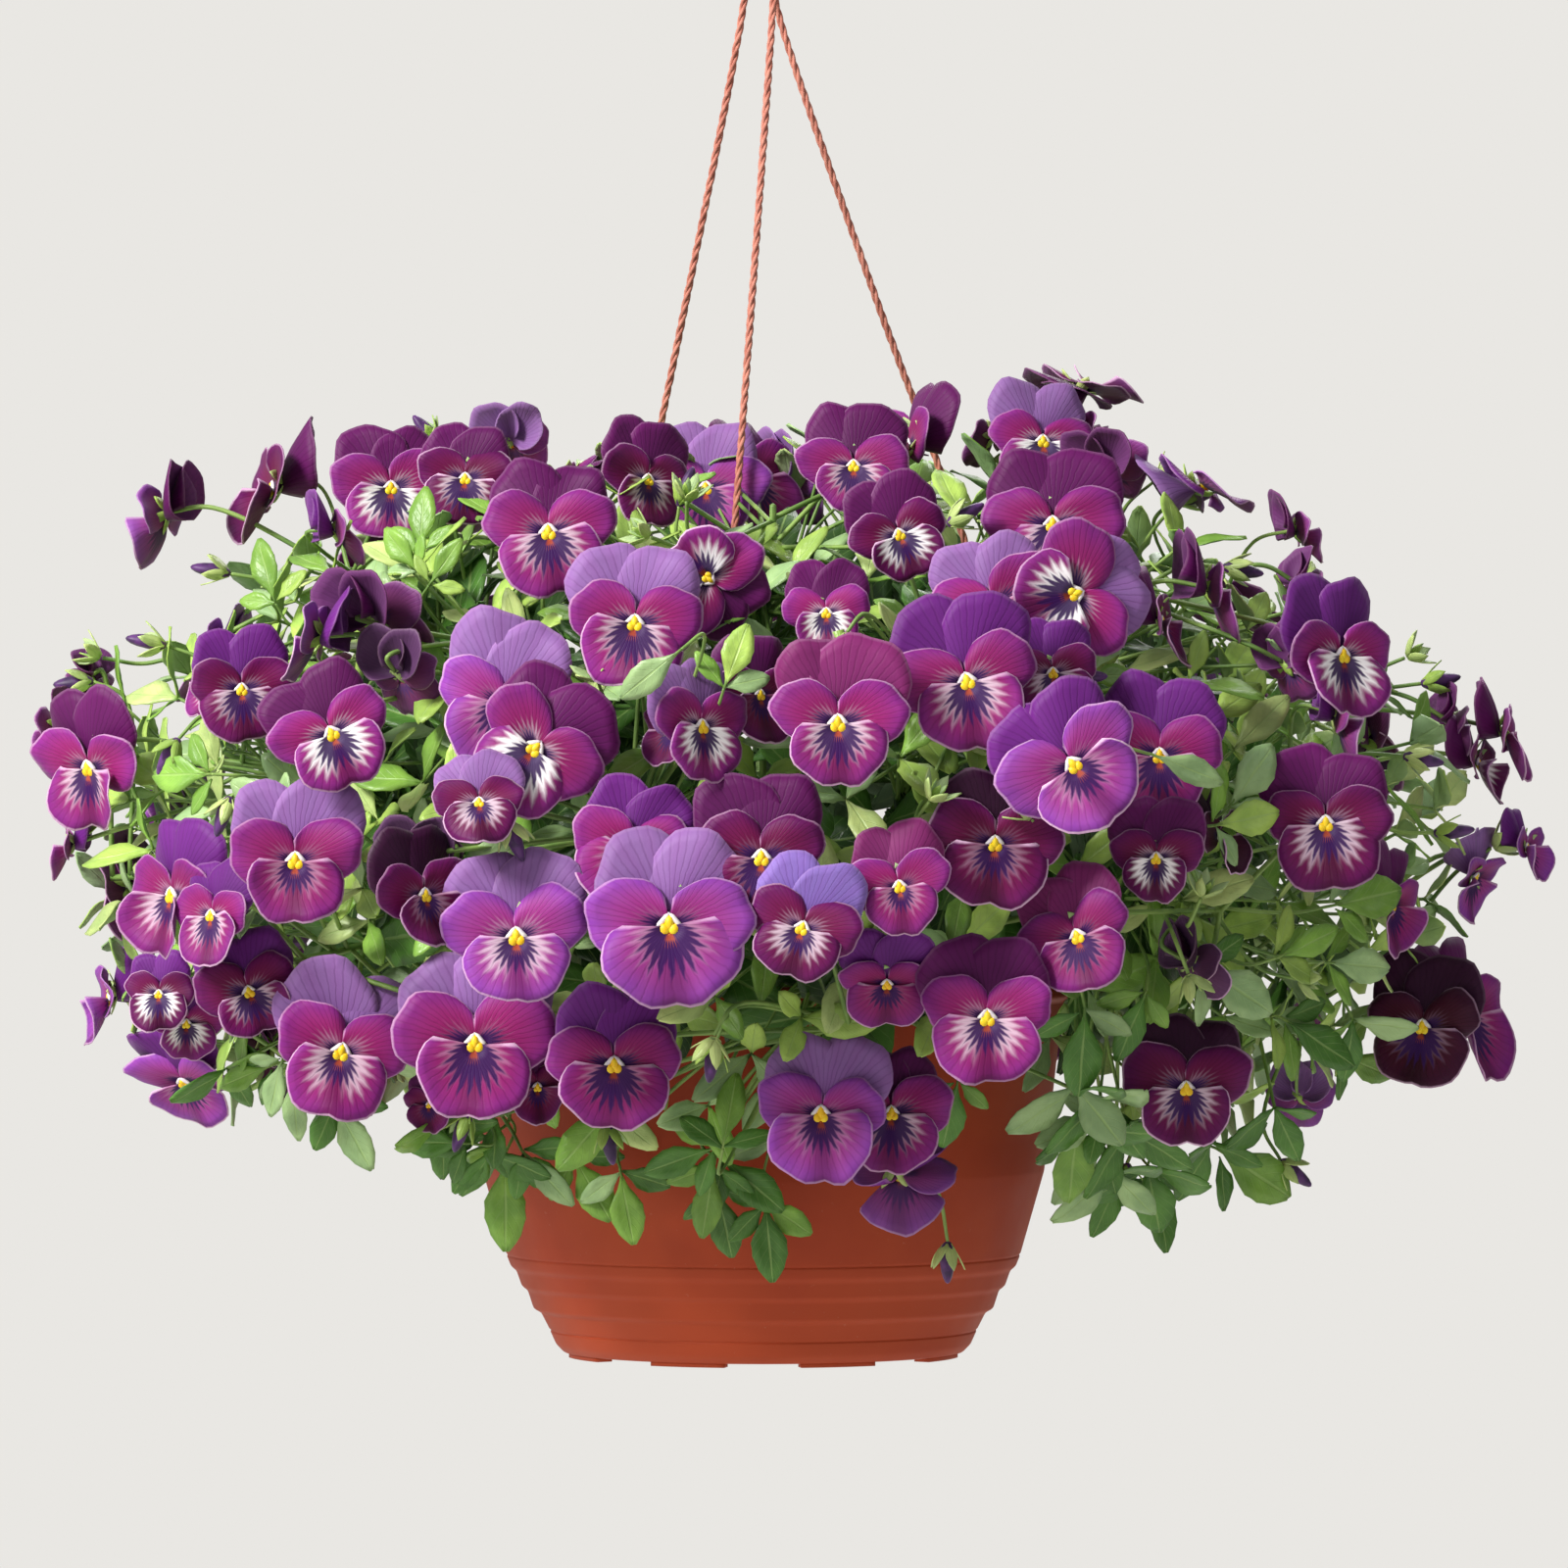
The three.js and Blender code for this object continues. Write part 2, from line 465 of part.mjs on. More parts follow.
const toViewer = new THREE.Vector3(0, -1, 0);

function placeFront() {
  const items = [];
  FRONT_BLOOMS.forEach(([x, y, pixels, yaw, pitch, roll, layer]) => {
    const full = pixels > 100 && Math.abs(yaw) < 75; // the small and the turned ones have a plainer outline
    const face = facing(inView(x, y, layer), yaw, pitch, roll);
    items.push({ layer, ...bloomItem(face, pixels * VIEW.mmPerPixel, full) });
  });
  FRONT_LEAVES.forEach(([x, y, pixels, turn, layer], i) => {
    const at = inView(x, y, layer);
    const face = facing(at, at.x * 0.12, 10 - 20 * scatter(i, 1), turn);
    items.push({ layer, ...leafItem(face, pixels * VIEW.mmPerPixel) });
  });
  items.sort((one, other) => one.layer - other.layer);
  for (const item of items) {
    settle(item, toViewer);
    nearestShoot(item.at)[item.kind].push(item);
  }
  FRONT_BUDS.forEach(([x, y, turn, layer]) => {
    const at = inView(x, y, layer);
    nearestShoot(at).buds.push(facing(at, 0, 0, turn));
  });
}

// The far half of the canopy, which the reference view doesn't show.
function placeBack() {
  for (let i = 0; i < BACK_BLOOMS; i++) {
    const rise = 0.98 - 1.6 * ((i + 0.5) / BACK_BLOOMS) ** 1.25;
    const level = Math.sqrt(1 - rise * rise);
    const spread = rise > 0.75 ? 100 : 82; // the top ones reach over the middle
    const turn = THREE.MathUtils.degToRad(90 + spread * (2 * ((i * 0.618034 + 0.3) % 1) - 1));
    const toward = new THREE.Vector3(Math.cos(turn) * level, Math.sin(turn) * level, rise);
    const yaw = yawOf(toward) + 30 * (scatter(i, 2) - 0.5);
    const pitch = 62 * rise + 20 * (scatter(i, 3) - 0.5);
    const face = facing(onCanopy(toward, 0.93), yaw, pitch, 50 * (scatter(i, 4) - 0.5));
    const height = THREE.MathUtils.lerp(...BACK_BLOOM_HEIGHT, scatter(i, 5));
    const item = settle(bloomItem(face, height, false), toward);
    nearestShoot(item.at).blooms.push(item);
  }
}

// The inner foliage of each stem: a dense core and, outside it, a whorl of leaves under the blooms.
function placeInner() {
  shoots.forEach((shoot, s) => {
    const curve = new THREE.CatmullRomCurve3(shoot.stem);
    const onStem = (share) => {
      const toward = curve.getTangentAt(share).lerp(shoot.toward, 0.5).normalize();
      const pitch = THREE.MathUtils.radToDeg(Math.asin(toward.z));
      return facing(curve.getPointAt(share), yawOf(toward), pitch, 60 * scatter(s, 6));
    };
    const core = CORE[shoot.low ? "low" : "high"];
    const items = [
      { kind: "cores", face: onStem(core.share), reach: core.radius * (0.9 + 0.2 * scatter(s, 7)) },
      { kind: "whorls", face: onStem(WHORL.share), reach: WHORL.reach * (0.88 + 0.24 * scatter(s, 8)) },
    ];
    for (const item of items) {
      item.at = new THREE.Vector3().setFromMatrixPosition(item.face);
      placed.push(item);
      shoot.inner.push(item);
    }
  });
}

// ---- Plant shapes ----
// Half the outline of a bloom one unit high round its eye, clockwise from the notch at the top. Every
// second point is a notch, up to the notch over the lip; the notches are the rim of the throat.
const HALF_FACE = [[0, 0.5], [0.28, 0.58], [0.43, 0.2], [0.46, -0.04], [0.27, -0.18], [0.22, -0.42]];
const FACE_TRIANGLES = [
  [0, 1, 2], [2, 3, 4], [4, 5, 6], [4, 6, 7], [7, 8, 9], [9, 10, 0], [0, 2, 9], [2, 4, 7], [2, 7, 9],
];
const HALF_BACK_FACE = [[0, 0.53], [0.36, 0.5], [0.45, 0], [0.22, -0.42]];
const BACK_FACE_TRIANGLES = [[0, 1, 2], [2, 3, 4], [2, 4, 5], [5, 6, 0], [0, 2, 5]];
const THROAT = [0.05, 0.06]; // where the stalk meets the back of a bloom

function bloomPlate({ height, full }, grow) {
  const half = full ? HALF_FACE : HALF_BACK_FACE;
  const left = half.slice(1).map(([x, y]) => [-x, y]);
  const outline = [half[0], ...left, ...half.slice(1).reverse()];
  const wide = height * (1 + grow * 0.02);
  const notches = full ? [0, 2, 4, 7, 9] : [0, 2, 5];
  const rim = outline.map(([x, y], i) => {
    const depth = notches.includes(i) ? DISH * height : 0;
    return [x * wide, y * wide, grow * FIT - depth];
  });
  return plate(rim, rim.length, full ? FACE_TRIANGLES : BACK_FACE_TRIANGLES, PETAL_THICK + grow * 2 * FIT);
}

// Outline of a leaf one unit long, from its base.
const LEAF_OUTLINE = [[0, 0], [0.28, 0.4], [0, 1], [-0.28, 0.4]];
const LEAF_TRIANGLES = [[0, 1, 3], [1, 2, 3]];
const LEAF_SAG = 0.14; // how far the tip bends back

function leafPlate({ length }, grow) {
  const wide = length * (1 + grow * 0.03);
  const depth = (y) => grow * FIT - LEAF_SAG * length * y * y;
  const points = LEAF_OUTLINE.map(([x, y]) => [x * wide, (y - 0.5) * wide, depth(y)]);
  return plate(points, points.length, LEAF_TRIANGLES, LEAF_THICK + grow * 2 * FIT);
}

// Leaves that spring from one place on a stem, dished toward its tip.
const WHORL_LEAVES = 5;
const WHORL_TRIANGLES = [
  [9, 0, 1], [1, 2, 3], [3, 4, 5], [5, 6, 7], [7, 8, 9], [1, 3, 5], [5, 7, 9], [1, 5, 9],
];

function whorlPlate({ reach }, grow) {
  const rim = Array.from({ length: 2 * WHORL_LEAVES }, (_, i) => {
    const turn = (i / WHORL_LEAVES) * Math.PI;
    const radius = (i % 2 ? 0.42 : 1) * reach + grow * FIT;
    return [Math.cos(turn) * radius, Math.sin(turn) * radius, (i % 2 ? 0 : 0.2 * reach) + grow * FIT];
  });
  return plate(rim, rim.length, WHORL_TRIANGLES, LEAF_THICK + grow * 2 * FIT);
}

function core({ reach }, grow) {
  return new THREE.IcosahedronGeometry(reach + grow * FIT * 1.3, 0).scale(1, 1, 0.75);
}

const SHAPES = { blooms: bloomPlate, leaves: leafPlate, whorls: whorlPlate, cores: core };

function flatSolid(item, grow) {
  return solid(SHAPES[item.kind](item, grow), item.face);
}

// ---- Routing: each stalk takes the first of a few arches that clears the other pieces' stalks ----
// [sideways, up]
const ARCHES = [
  [0, 0], [12, 0], [-12, 0], [0, 12], [0, -12], [22, 6], [-22, 6], [10, 22], [-10, 22], [34, 0], [-34, 0],
  [0, 34], [0, -30],
];
const STRAIGHT_ENOUGH = 0.45; // cosine between a straight run and the way a stalk should arrive
const HOOKED = 0.3; // cosine of a bend, below which a stem is made of two straight runs
const routed = [];

// A line may also start elsewhere: at the given other starts, where the first choice finds no way.
function stalk(owner, points, radius, sides, item, starts = []) {
  const last = points.length - 1;
  const lines = [points[0], ...starts].flatMap((start) => {
    const run = points[last].clone().sub(start).normalize();
    const sideways = new THREE.Vector3().crossVectors(run, new THREE.Vector3(0, 0, 1)).normalize();
    const bent = (last > 1 ? ARCHES : []).map(([aside, up]) => {
      const line = [start, ...points.slice(1)].map((point) => point.clone());
      line[1].addScaledVector(sideways, aside).z += up;
      return line;
    });
    // A line that reaches its bloom or leaf well from behind can do without a bend.
    const arrival = points[last].clone().sub(points[last - 1]).normalize();
    const direct = last === 1 || (item && run.dot(arrival) > STRAIGHT_ENOUGH);
    return direct ? [[start, points[last]], ...bent] : bent;
  });
  let best = null;
  for (const line of lines) {
    const space = bar(line, radius + FIT + 0.1, sides);
    const stopped = routed.filter((other) => other.owner !== owner && meets(other.space, space)).length;
    const pierced = placed.filter((other) => other !== item && meets(other.space, space)).length;
    const cost = stopped * 100 + pierced;
    if (!best || cost < best.cost) best = { owner, line, space, cost };
    if (cost < 2) break;
  }
  routed.push(best);
  return bar(best.line, radius, sides);
}

// A stem of one smooth run, or of two straight ones where it turns back sharply.
function bar(line, radius, sides) {
  const runs = line.slice(1).map((point, i) => [line[i], point]);
  const [first, second] = runs.map(([from, to]) => to.clone().sub(from).normalize());
  if (runs.length === 2 && first.dot(second) < HOOKED) {
    return joined(runs.map((run) => solid(rod(run, radius, sides, 1))));
  }
  return solid(rod(line, radius, sides, sides > STALK_SIDES ? line.length : line.length - 1));
}

function meets(one, other) {
  const [a, b] = [one.boundingBox(), other.boundingBox()];
  const apart = [0, 1, 2].some((i) => a.min[i] > b.max[i] || b.min[i] > a.max[i]);
  return !apart && !one.intersect(other).isEmpty();
}

// Places spread along the outer part of a line, from a share of its length to its end.
function branchings(line, from, count) {
  const curve = new THREE.CatmullRomCurve3(line);
  return Array.from({ length: count }, (_, i) => curve.getPointAt(1 - (1 - from) * ((i + 0.5) / count)));
}

// The targets that reach furthest outward branch off nearest to the end.
function outerFirst(shoot, targets) {
  return targets.sort((one, other) => other.to.dot(shoot.toward) - one.to.dot(shoot.toward));
}

function leafyShoot(shoot) {
  const lines = [stalk(shoot, shoot.stem, STALK_RADIUS, 4)];
  const targets = shoot.leaves.map((item) => {
    const under = new THREE.Vector3(0, 0.02 * item.length, -LEAF_SAG / 4 * item.length - LEAF_THICK * 0.6);
    return { item, to: under.applyMatrix4(item.face), behind: new THREE.Vector3(0, -0.42, -0.28) };
  });
  const places = branchings(shoot.stem, 0.72, targets.length);
  outerFirst(shoot, targets).forEach(({ item, to, behind }, i) => {
    const bend = to.clone().add(behind.transformDirection(item.face).multiplyScalar(0.4 * item.length));
    lines.push(stalk(shoot, [places[i], bend, to], PETIOLE_RADIUS, STALK_SIDES, item, places));
  });
  return lines;
}

function bloomBunch(shoot) {
  const lines = [stalk(shoot.spur, shoot.spur, STALK_RADIUS, 4)];
  const targets = shoot.blooms.map((item) => {
    const [x, y, z] = [THROAT[0], THROAT[1], -DISH].map((share) => share * item.height);
    const behind = new THREE.Vector3(0, 0.25, -1).transformDirection(item.face);
    return { item, to: new THREE.Vector3(x, y, z - PETAL_THICK / 2).applyMatrix4(item.face), behind };
  });
  for (const face of shoot.buds) {
    const bud = (grow) => {
      const [wide, long] = [BUD.radius + grow, BUD.length + grow];
      return solid(new THREE.OctahedronGeometry(1, 0).scale(wide, long, wide), face);
    };
    routed.push({ owner: shoot.spur, space: bud(2 * FIT) });
    lines.push(bud(0));
    const behind = new THREE.Vector3(0, -1, 0).transformDirection(face);
    targets.push({ item: null, to: new THREE.Vector3(0.4, -5, 0.4).applyMatrix4(face), behind });
  }
  const places = branchings(shoot.spur, 0.15, targets.length);
  outerFirst(shoot, targets).forEach(({ item, to, behind }, i) => {
    const bend = to.clone().addScaledVector(behind, NECK).lerp(places[i], 0.1);
    lines.push(stalk(shoot.spur, [places[i], bend, to], PEDICEL_RADIUS, STALK_SIDES, item, places));
  });
  return lines;
}

// ---- Putting it together ----
// The upper wall and rim with a gap's width all round, which the stalks and leaves keep clear of.
const rimTop = POT_HEIGHT - FOOT_HEIGHT + FIT;
const wallOutside = POT_OUTSIDE.slice(-5).map(([radius, z]) => [radius + FIT, z]);
const wallInside = [[RIM_RADIUS - 5, rimTop], [RIM_RADIUS - 5, 60]];
const wallProfile = [wallInside[1], [113 + FIT, 60], ...wallOutside, [RIM_RADIUS + FIT, rimTop], ...wallInside];
const rimSpace = turned(wallProfile, POT_SEGMENTS, POT_BASE + FOOT_HEIGHT);

const ropes = ROPE_TURNS.map((_, i) => rope(i, ROPE_RADIUS, KNOT_RADIUS));
const ropeSpaces = ROPE_TURNS.map((_, i) => rope(i, ROPE_RADIUS + FIT, KNOT_RADIUS + FIT));
const potSolid = pot();
const soilSolid = soil(joined(ropeSpaces));
const fixed = [...ropeSpaces, potSolid, rimSpace, soilSolid];
for (const space of fixed) routed.push({ owner: null, space });

addNode("hanging_pot", potSolid, "terracotta", HARD);
addNode("soil", soilSolid, "soil", HARD);
addNode("hanger_hook", hook(), "terracotta", HARD);
["rope_front", "rope_rear_left", "rope_rear_right"].forEach((name, i) => addNode(name, ropes[i], "rope", HARD));

placeFront();
placeBack();
placeInner();

for (const item of placed) {
  item.space = flatSolid(item, 1);
}

const pieces = [];
shoots.forEach((shoot, i) => {
  const label = String(i + 1).padStart(2, "0");
  const foliage = [...shoot.inner, ...shoot.leaves];
  const green = { name: `leafy_shoot_${label}`, look: "leaf", owner: shoot, items: foliage };
  const bloom = { name: `viola_bunch_${label}`, look: "petal", owner: shoot.spur, items: shoot.blooms };
  pieces.push({ ...green, stalks: leafyShoot(shoot) }, { ...bloom, stalks: bloomBunch(shoot) });
});

// Blooms and leaves give way to the stalks of other pieces, and leaves and cores also to the blooms.
const itemsBefore = [];
const done = [null];
pieces.sort((one, other) => (one.look === "leaf") - (other.look === "leaf"));
for (const { name, owner, look, stalks, items } of pieces) {
  const stalkSpaces = routed.filter((other) => other.owner !== owner).map(({ space }) => space);
  const flat = items.map((item) => {
    const made = flatSolid(item, 0);
    const inWay = [...stalkSpaces, ...itemsBefore].filter((space) => meets(space, made));
    return inWay.length ? made.subtract(joined(inWay)) : made;
  });
  const runs = joined(stalks);
  const crossed = routed.filter((other) => done.includes(other.owner) && meets(other.space, runs));
  const kept = crossed.length ? runs.subtract(joined(crossed.map(({ space }) => space))) : runs;
  addNode(name, joined([kept, ...flat]), look, GROWN);
  itemsBefore.push(...items.map(({ space }) => space));
  done.push(owner);
}

export default nodes;
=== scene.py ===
# %% [markdown]
# # A hanging pot of trailing violas
#
# The frame holds the CAD part: a round plastic pot on three twisted ropes, its soil, and the violas as
# coarse shoots and bunches. This scene gives every one of them its real look. It starts with the camera
# and the ropes, goes on to the hard parts, and then grows the plants, which are most of the picture.

# %% Load the frame
import bisect
import math

import bmesh
import bpy
from mathutils import Matrix, Vector, noise


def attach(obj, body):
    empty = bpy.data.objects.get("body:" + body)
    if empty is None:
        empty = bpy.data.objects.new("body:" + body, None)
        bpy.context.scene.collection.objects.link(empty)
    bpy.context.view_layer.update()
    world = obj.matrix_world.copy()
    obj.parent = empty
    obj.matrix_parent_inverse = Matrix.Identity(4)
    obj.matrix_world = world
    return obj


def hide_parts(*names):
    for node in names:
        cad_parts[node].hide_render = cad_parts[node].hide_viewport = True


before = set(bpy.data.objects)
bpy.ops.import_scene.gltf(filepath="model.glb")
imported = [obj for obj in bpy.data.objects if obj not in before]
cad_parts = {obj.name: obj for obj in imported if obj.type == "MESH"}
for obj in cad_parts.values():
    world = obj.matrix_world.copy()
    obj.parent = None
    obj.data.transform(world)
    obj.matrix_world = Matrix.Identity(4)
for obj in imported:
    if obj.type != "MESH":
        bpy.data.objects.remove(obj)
scene = bpy.context.scene
MM = 0.001
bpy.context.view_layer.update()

# %% [markdown]
# ## The camera
#
# The pot hangs with its rim near eye height, and the photograph is taken level, from 3.5 m away with a
# long lens, so that the near and far blooms keep almost the same scale. One pixel of the 1600 is 0.4 mm
# at the pot's axis. The same numbers give the front blooms their places further down.

# %% Place the camera
VIEW_DISTANCE = 3512
MM_PER_PIXEL = 0.4
PICTURE_CENTRE = 800
AXIS_PIXEL = 779
VIEW_HEIGHT = -392
SENSOR = 36

lens = bpy.data.cameras.new("camera")
lens.sensor_width = SENSOR
lens.lens = SENSOR * VIEW_DISTANCE / (2 * PICTURE_CENTRE * MM_PER_PIXEL)
lens.clip_end = 30
camera = bpy.data.objects.new("camera", lens)
camera.location = Vector(((PICTURE_CENTRE - AXIS_PIXEL) * MM_PER_PIXEL, -VIEW_DISTANCE, VIEW_HEIGHT)) * MM
camera.rotation_euler = (math.pi / 2, 0, 0)
scene.collection.objects.link(camera)
scene.camera = camera
print("lens", round(lens.lens, 1), "mm")

# %% [markdown]
# ## Helpers for lines
#
# Ropes and stems follow smooth lines through a few points. A centripetal Catmull-Rom line passes through
# all of them without loops, and the CAD part uses the same kind. A Blender curve with a bevel then turns
# each line into a tube, and many tubes can share one curve.

# %% Smooth lines and tubes
SAMPLES_PER_SPAN = 12


def span_point(before, start, end, after, share):
    """A point on the centripetal Catmull-Rom span from start to end."""
    gaps = [max(1e-4, (b - a).length) ** 0.5 for a, b in ((before, start), (start, end), (end, after))]
    left = (start - before) / gaps[0] - (end - before) / (gaps[0] + gaps[1]) + (end - start) / gaps[1]
    right = (end - start) / gaps[1] - (after - start) / (gaps[1] + gaps[2]) + (after - end) / gaps[2]
    left, right = left * gaps[1], right * gaps[1]
    curve = (2 * start - 2 * end + left + right) * share**3
    return curve + (3 * end - 3 * start - 2 * left - right) * share**2 + left * share + start


def smooth_line(points):
    """Many points along the smooth line through a few."""
    if len(points) == 2:
        return list(points)
    ends = [2 * points[0] - points[1], *points, 2 * points[-1] - points[-2]]
    shares = [i / SAMPLES_PER_SPAN for i in range(SAMPLES_PER_SPAN)]
    line = [span_point(*ends[i : i + 4], share) for i in range(len(points) - 1) for share in shares]
    return [*line, points[-1]]


def lengths_of(line):
    """The length of a line up to each of its points."""
    lengths = [0.0]
    for a, b in zip(line, line[1:]):
        lengths.append(lengths[-1] + (b - a).length)
    return lengths


def along(line, share):
    """The point at a share of a line's length."""
    lengths = lengths_of(line)
    goal = share * lengths[-1]
    i = min(max(bisect.bisect_left(lengths, goal), 1), len(line) - 1)
    run = max(lengths[i] - lengths[i - 1], 1e-9)
    return line[i - 1].lerp(line[i], (goal - lengths[i - 1]) / run)


def final_mesh(obj):
    """The mesh that an object shows, with its bevel or modifiers made real."""
    graph = bpy.context.evaluated_depsgraph_get()
    mesh = bpy.data.meshes.new_from_object(obj.evaluated_get(graph), depsgraph=graph)
    data, is_curve = obj.data, obj.type == "CURVE"
    bpy.data.objects.remove(obj)
    (bpy.data.curves if is_curve else bpy.data.meshes).remove(data)
    return mesh


def tubes(lines, corners=0):
    """One mesh of tubes. Each line is (points, radius at the start, radius at the end)."""
    curve = bpy.data.curves.new("tubes", "CURVE")
    curve.dimensions = "3D"
    curve.bevel_depth = 1
    curve.bevel_resolution = corners
    curve.use_fill_caps = True
    for points, start, end in lines:
        spline = curve.splines.new("POLY")
        spline.points.add(len(points) - 1)
        for i, point in enumerate(points):
            spline.points[i].co = (*point, 1)
            spline.points[i].radius = start + (end - start) * i / (len(points) - 1)
    obj = bpy.data.objects.new("tubes", curve)
    scene.collection.objects.link(obj)
    return final_mesh(obj)


def add_part(bm, part):
    """Adds all of one bmesh to another."""
    mesh = bpy.data.meshes.new("part")
    part.to_mesh(mesh)
    part.free()
    bm.from_mesh(mesh)
    bpy.data.meshes.remove(mesh)


def new_piece(name, bm, materials, replaces=()):
    """Welds a bmesh, scales it from millimetres to metres, and puts it in the scene on the one body."""
    bmesh.ops.remove_doubles(bm, verts=bm.verts, dist=1e-4)
    bmesh.ops.scale(bm, vec=(MM, MM, MM), verts=bm.verts)
    mesh = bpy.data.meshes.new(name)
    bm.to_mesh(mesh)
    bm.free()
    for material in materials:
        mesh.materials.append(material)
    mesh.shade_smooth()
    obj = bpy.data.objects.new(name, mesh)
    scene.collection.objects.link(obj)
    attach(obj, "root")
    if replaces:
        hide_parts(*replaces)
    return obj


# %% [markdown]
# ## Helpers for finishes
#
# Each finish is one Principled BSDF with a few procedural nodes in front of it. A small wrapper keeps the
# node code short. Two effects come back in many finishes: blotchy colour, as on plastic, soil and leaves,
# and fine grain for the Bump node. They are node groups, so each is built once.

# %% Node wrapper and shared groups
class Nodes:
    """Short ways to add nodes to one tree."""

    def __init__(self, tree):
        self.tree = tree

    def add(self, kind, **settings):
        node = self.tree.nodes.new(kind)
        for name, value in settings.items():
            setattr(node, name, value)
        return node

    def feed(self, socket, value):
        if isinstance(value, bpy.types.NodeSocket):
            self.tree.links.new(value, socket)
        else:
            socket.default_value = value

    def math(self, operation, *values, clamp=False):
        node = self.add("ShaderNodeMath", operation=operation, use_clamp=clamp)
        for socket, value in zip(node.inputs, values):
            self.feed(socket, value)
        return node.outputs[0]

    def product(self, *values, clamp=False):
        """All the values multiplied with each other."""
        result = values[0]
        for value in values[1:]:
            result = self.math("MULTIPLY", result, value, clamp=clamp)
        return result

    def mix(self, share, one, other):
        node = self.add("ShaderNodeMix", data_type="RGBA")
        for socket, value in zip((node.inputs[0], node.inputs[6], node.inputs[7]), (share, one, other)):
            self.feed(socket, value)
        return node.outputs[2]

    def step(self, value, low, high):
        """0 below low, 1 above high, smooth between."""
        node = self.add("ShaderNodeMapRange", interpolation_type="SMOOTHSTEP")
        for socket, number in zip(node.inputs, (value, low, high)):
            self.feed(socket, number)
        return node.outputs[0]

    def noise(self, scale, detail):
        """Noise on Object coordinates."""
        node = self.add("ShaderNodeTexNoise")
        self.feed(node.inputs["Vector"], self.add("ShaderNodeTexCoord").outputs["Object"])
        self.feed(node.inputs["Scale"], scale)
        node.inputs["Detail"].default_value = detail
        return node.outputs["Fac"]

    def use(self, group, **values):
        node = self.add("ShaderNodeGroup", node_tree=group)
        for name, value in values.items():
            self.feed(node.inputs[name], value)
        return node.outputs[0]


FLOAT, COLOUR = "NodeSocketFloat", "NodeSocketColor"
GREY = (0.5, 0.5, 0.5, 1)


def new_group(name, inputs, output, output_kind):
    """A node group with one output. inputs gives each input's name, kind and value."""
    tree = bpy.data.node_groups.new(name, "ShaderNodeTree")
    for title, (kind, value) in inputs.items():
        tree.interface.new_socket(title, in_out="INPUT", socket_type=kind).default_value = value
    tree.interface.new_socket(output, in_out="OUTPUT", socket_type=output_kind)
    nodes = Nodes(tree)
    return tree, nodes, nodes.add("NodeGroupInput").outputs, nodes.add("NodeGroupOutput").inputs


mottle, nodes, given, result = new_group(
    "mottle", {"Light": (COLOUR, GREY), "Dark": (COLOUR, GREY), "Scale": (FLOAT, 20.0)}, "Colour", COLOUR
)
patch = nodes.step(nodes.noise(given["Scale"], 5), 0.35, 0.65)
nodes.feed(result["Colour"], nodes.mix(patch, given["Dark"], given["Light"]))

grain, nodes, given, result = new_group(
    "grain", {"Scale": (FLOAT, 900.0), "Depth": (FLOAT, 0.5)}, "Height", FLOAT
)
nodes.feed(result["Height"], nodes.product(nodes.noise(given["Scale"], 3), given["Depth"]))
print("shared groups:", mottle.name, grain.name)


# %% Start a finish
def srgb(red, green, blue):
    """An 0 to 255 screen colour as the linear colour that Blender works in."""
    def linear(value):
        value /= 255
        return value / 12.92 if value <= 0.04045 else ((value + 0.055) / 1.055) ** 2.4

    return (linear(red), linear(green), linear(blue), 1)


def new_finish(name, roughness, **settings):
    """A material with its Principled BSDF, and the wrapper to add nodes in front of it."""
    material = bpy.data.materials.new(name)
    material.use_nodes = True
    shader = material.node_tree.nodes["Principled BSDF"]
    shader.inputs["Roughness"].default_value = roughness
    for title, value in settings.items():
        shader.inputs[title.replace("_", " ")].default_value = value
    return material, shader, Nodes(material.node_tree)


def mottled_finish(name, roughness, light, dark, scale, **settings):
    """A material whose colour is blotchy between two screen colours."""
    material, shader, nodes = new_finish(name, roughness, **settings)
    colour = nodes.use(mottle, Light=srgb(*light), Dark=srgb(*dark), Scale=scale)
    nodes.feed(shader.inputs["Base Color"], colour)
    return material, shader, nodes


def add_bump(nodes, shader, height, strength, distance):
    """Lets a height drive the finish's normals. distance is in metres."""
    bump = nodes.add("ShaderNodeBump")
    bump.inputs["Strength"].default_value = strength
    bump.inputs["Distance"].default_value = distance
    nodes.feed(bump.inputs["Height"], height)
    nodes.feed(shader.inputs["Normal"], bump.outputs["Normal"])


# %% [markdown]
# ## Ropes
#
# Three brown-red polypropylene ropes run from a disc under the hook to the pot's rim. Each is laid from
# three strands, and that twist is what the eye sees. Three thin tubes on helices round the rope's line
# show it truly, where one tube with a bump would look flat at its edges. The right rear rope bows out a
# little over the crown of the plants. Every rope is held taut, and knotted at both ends.

# %% Rope lines and finish
COLLAR_TOP = -62
COLLAR_THICK = 4
RIM_TOP = -472
LUG_BELOW = 5
LUG_THICK = 3
ROPE_CIRCLE = 114
ROPE_RADIUS = 1.6
ROPE_NAMES = ("rope_front", "rope_rear_left", "rope_rear_right")
ROPE_TURNS = (258, 140, 20)
ROPE_TOPS = ((4.2, -6.2), (-7.4, 0.6), (4.2, 6.2))
ROPE_BOWS = ((), (), ((45, 14, -190), (80, 27, -284), (98, 33, -345)))
# How far a rope runs straight out of the disc or over the lug, and how far its end stands past them.
ROPE_STRAIGHT, ROPE_END = 3, 1


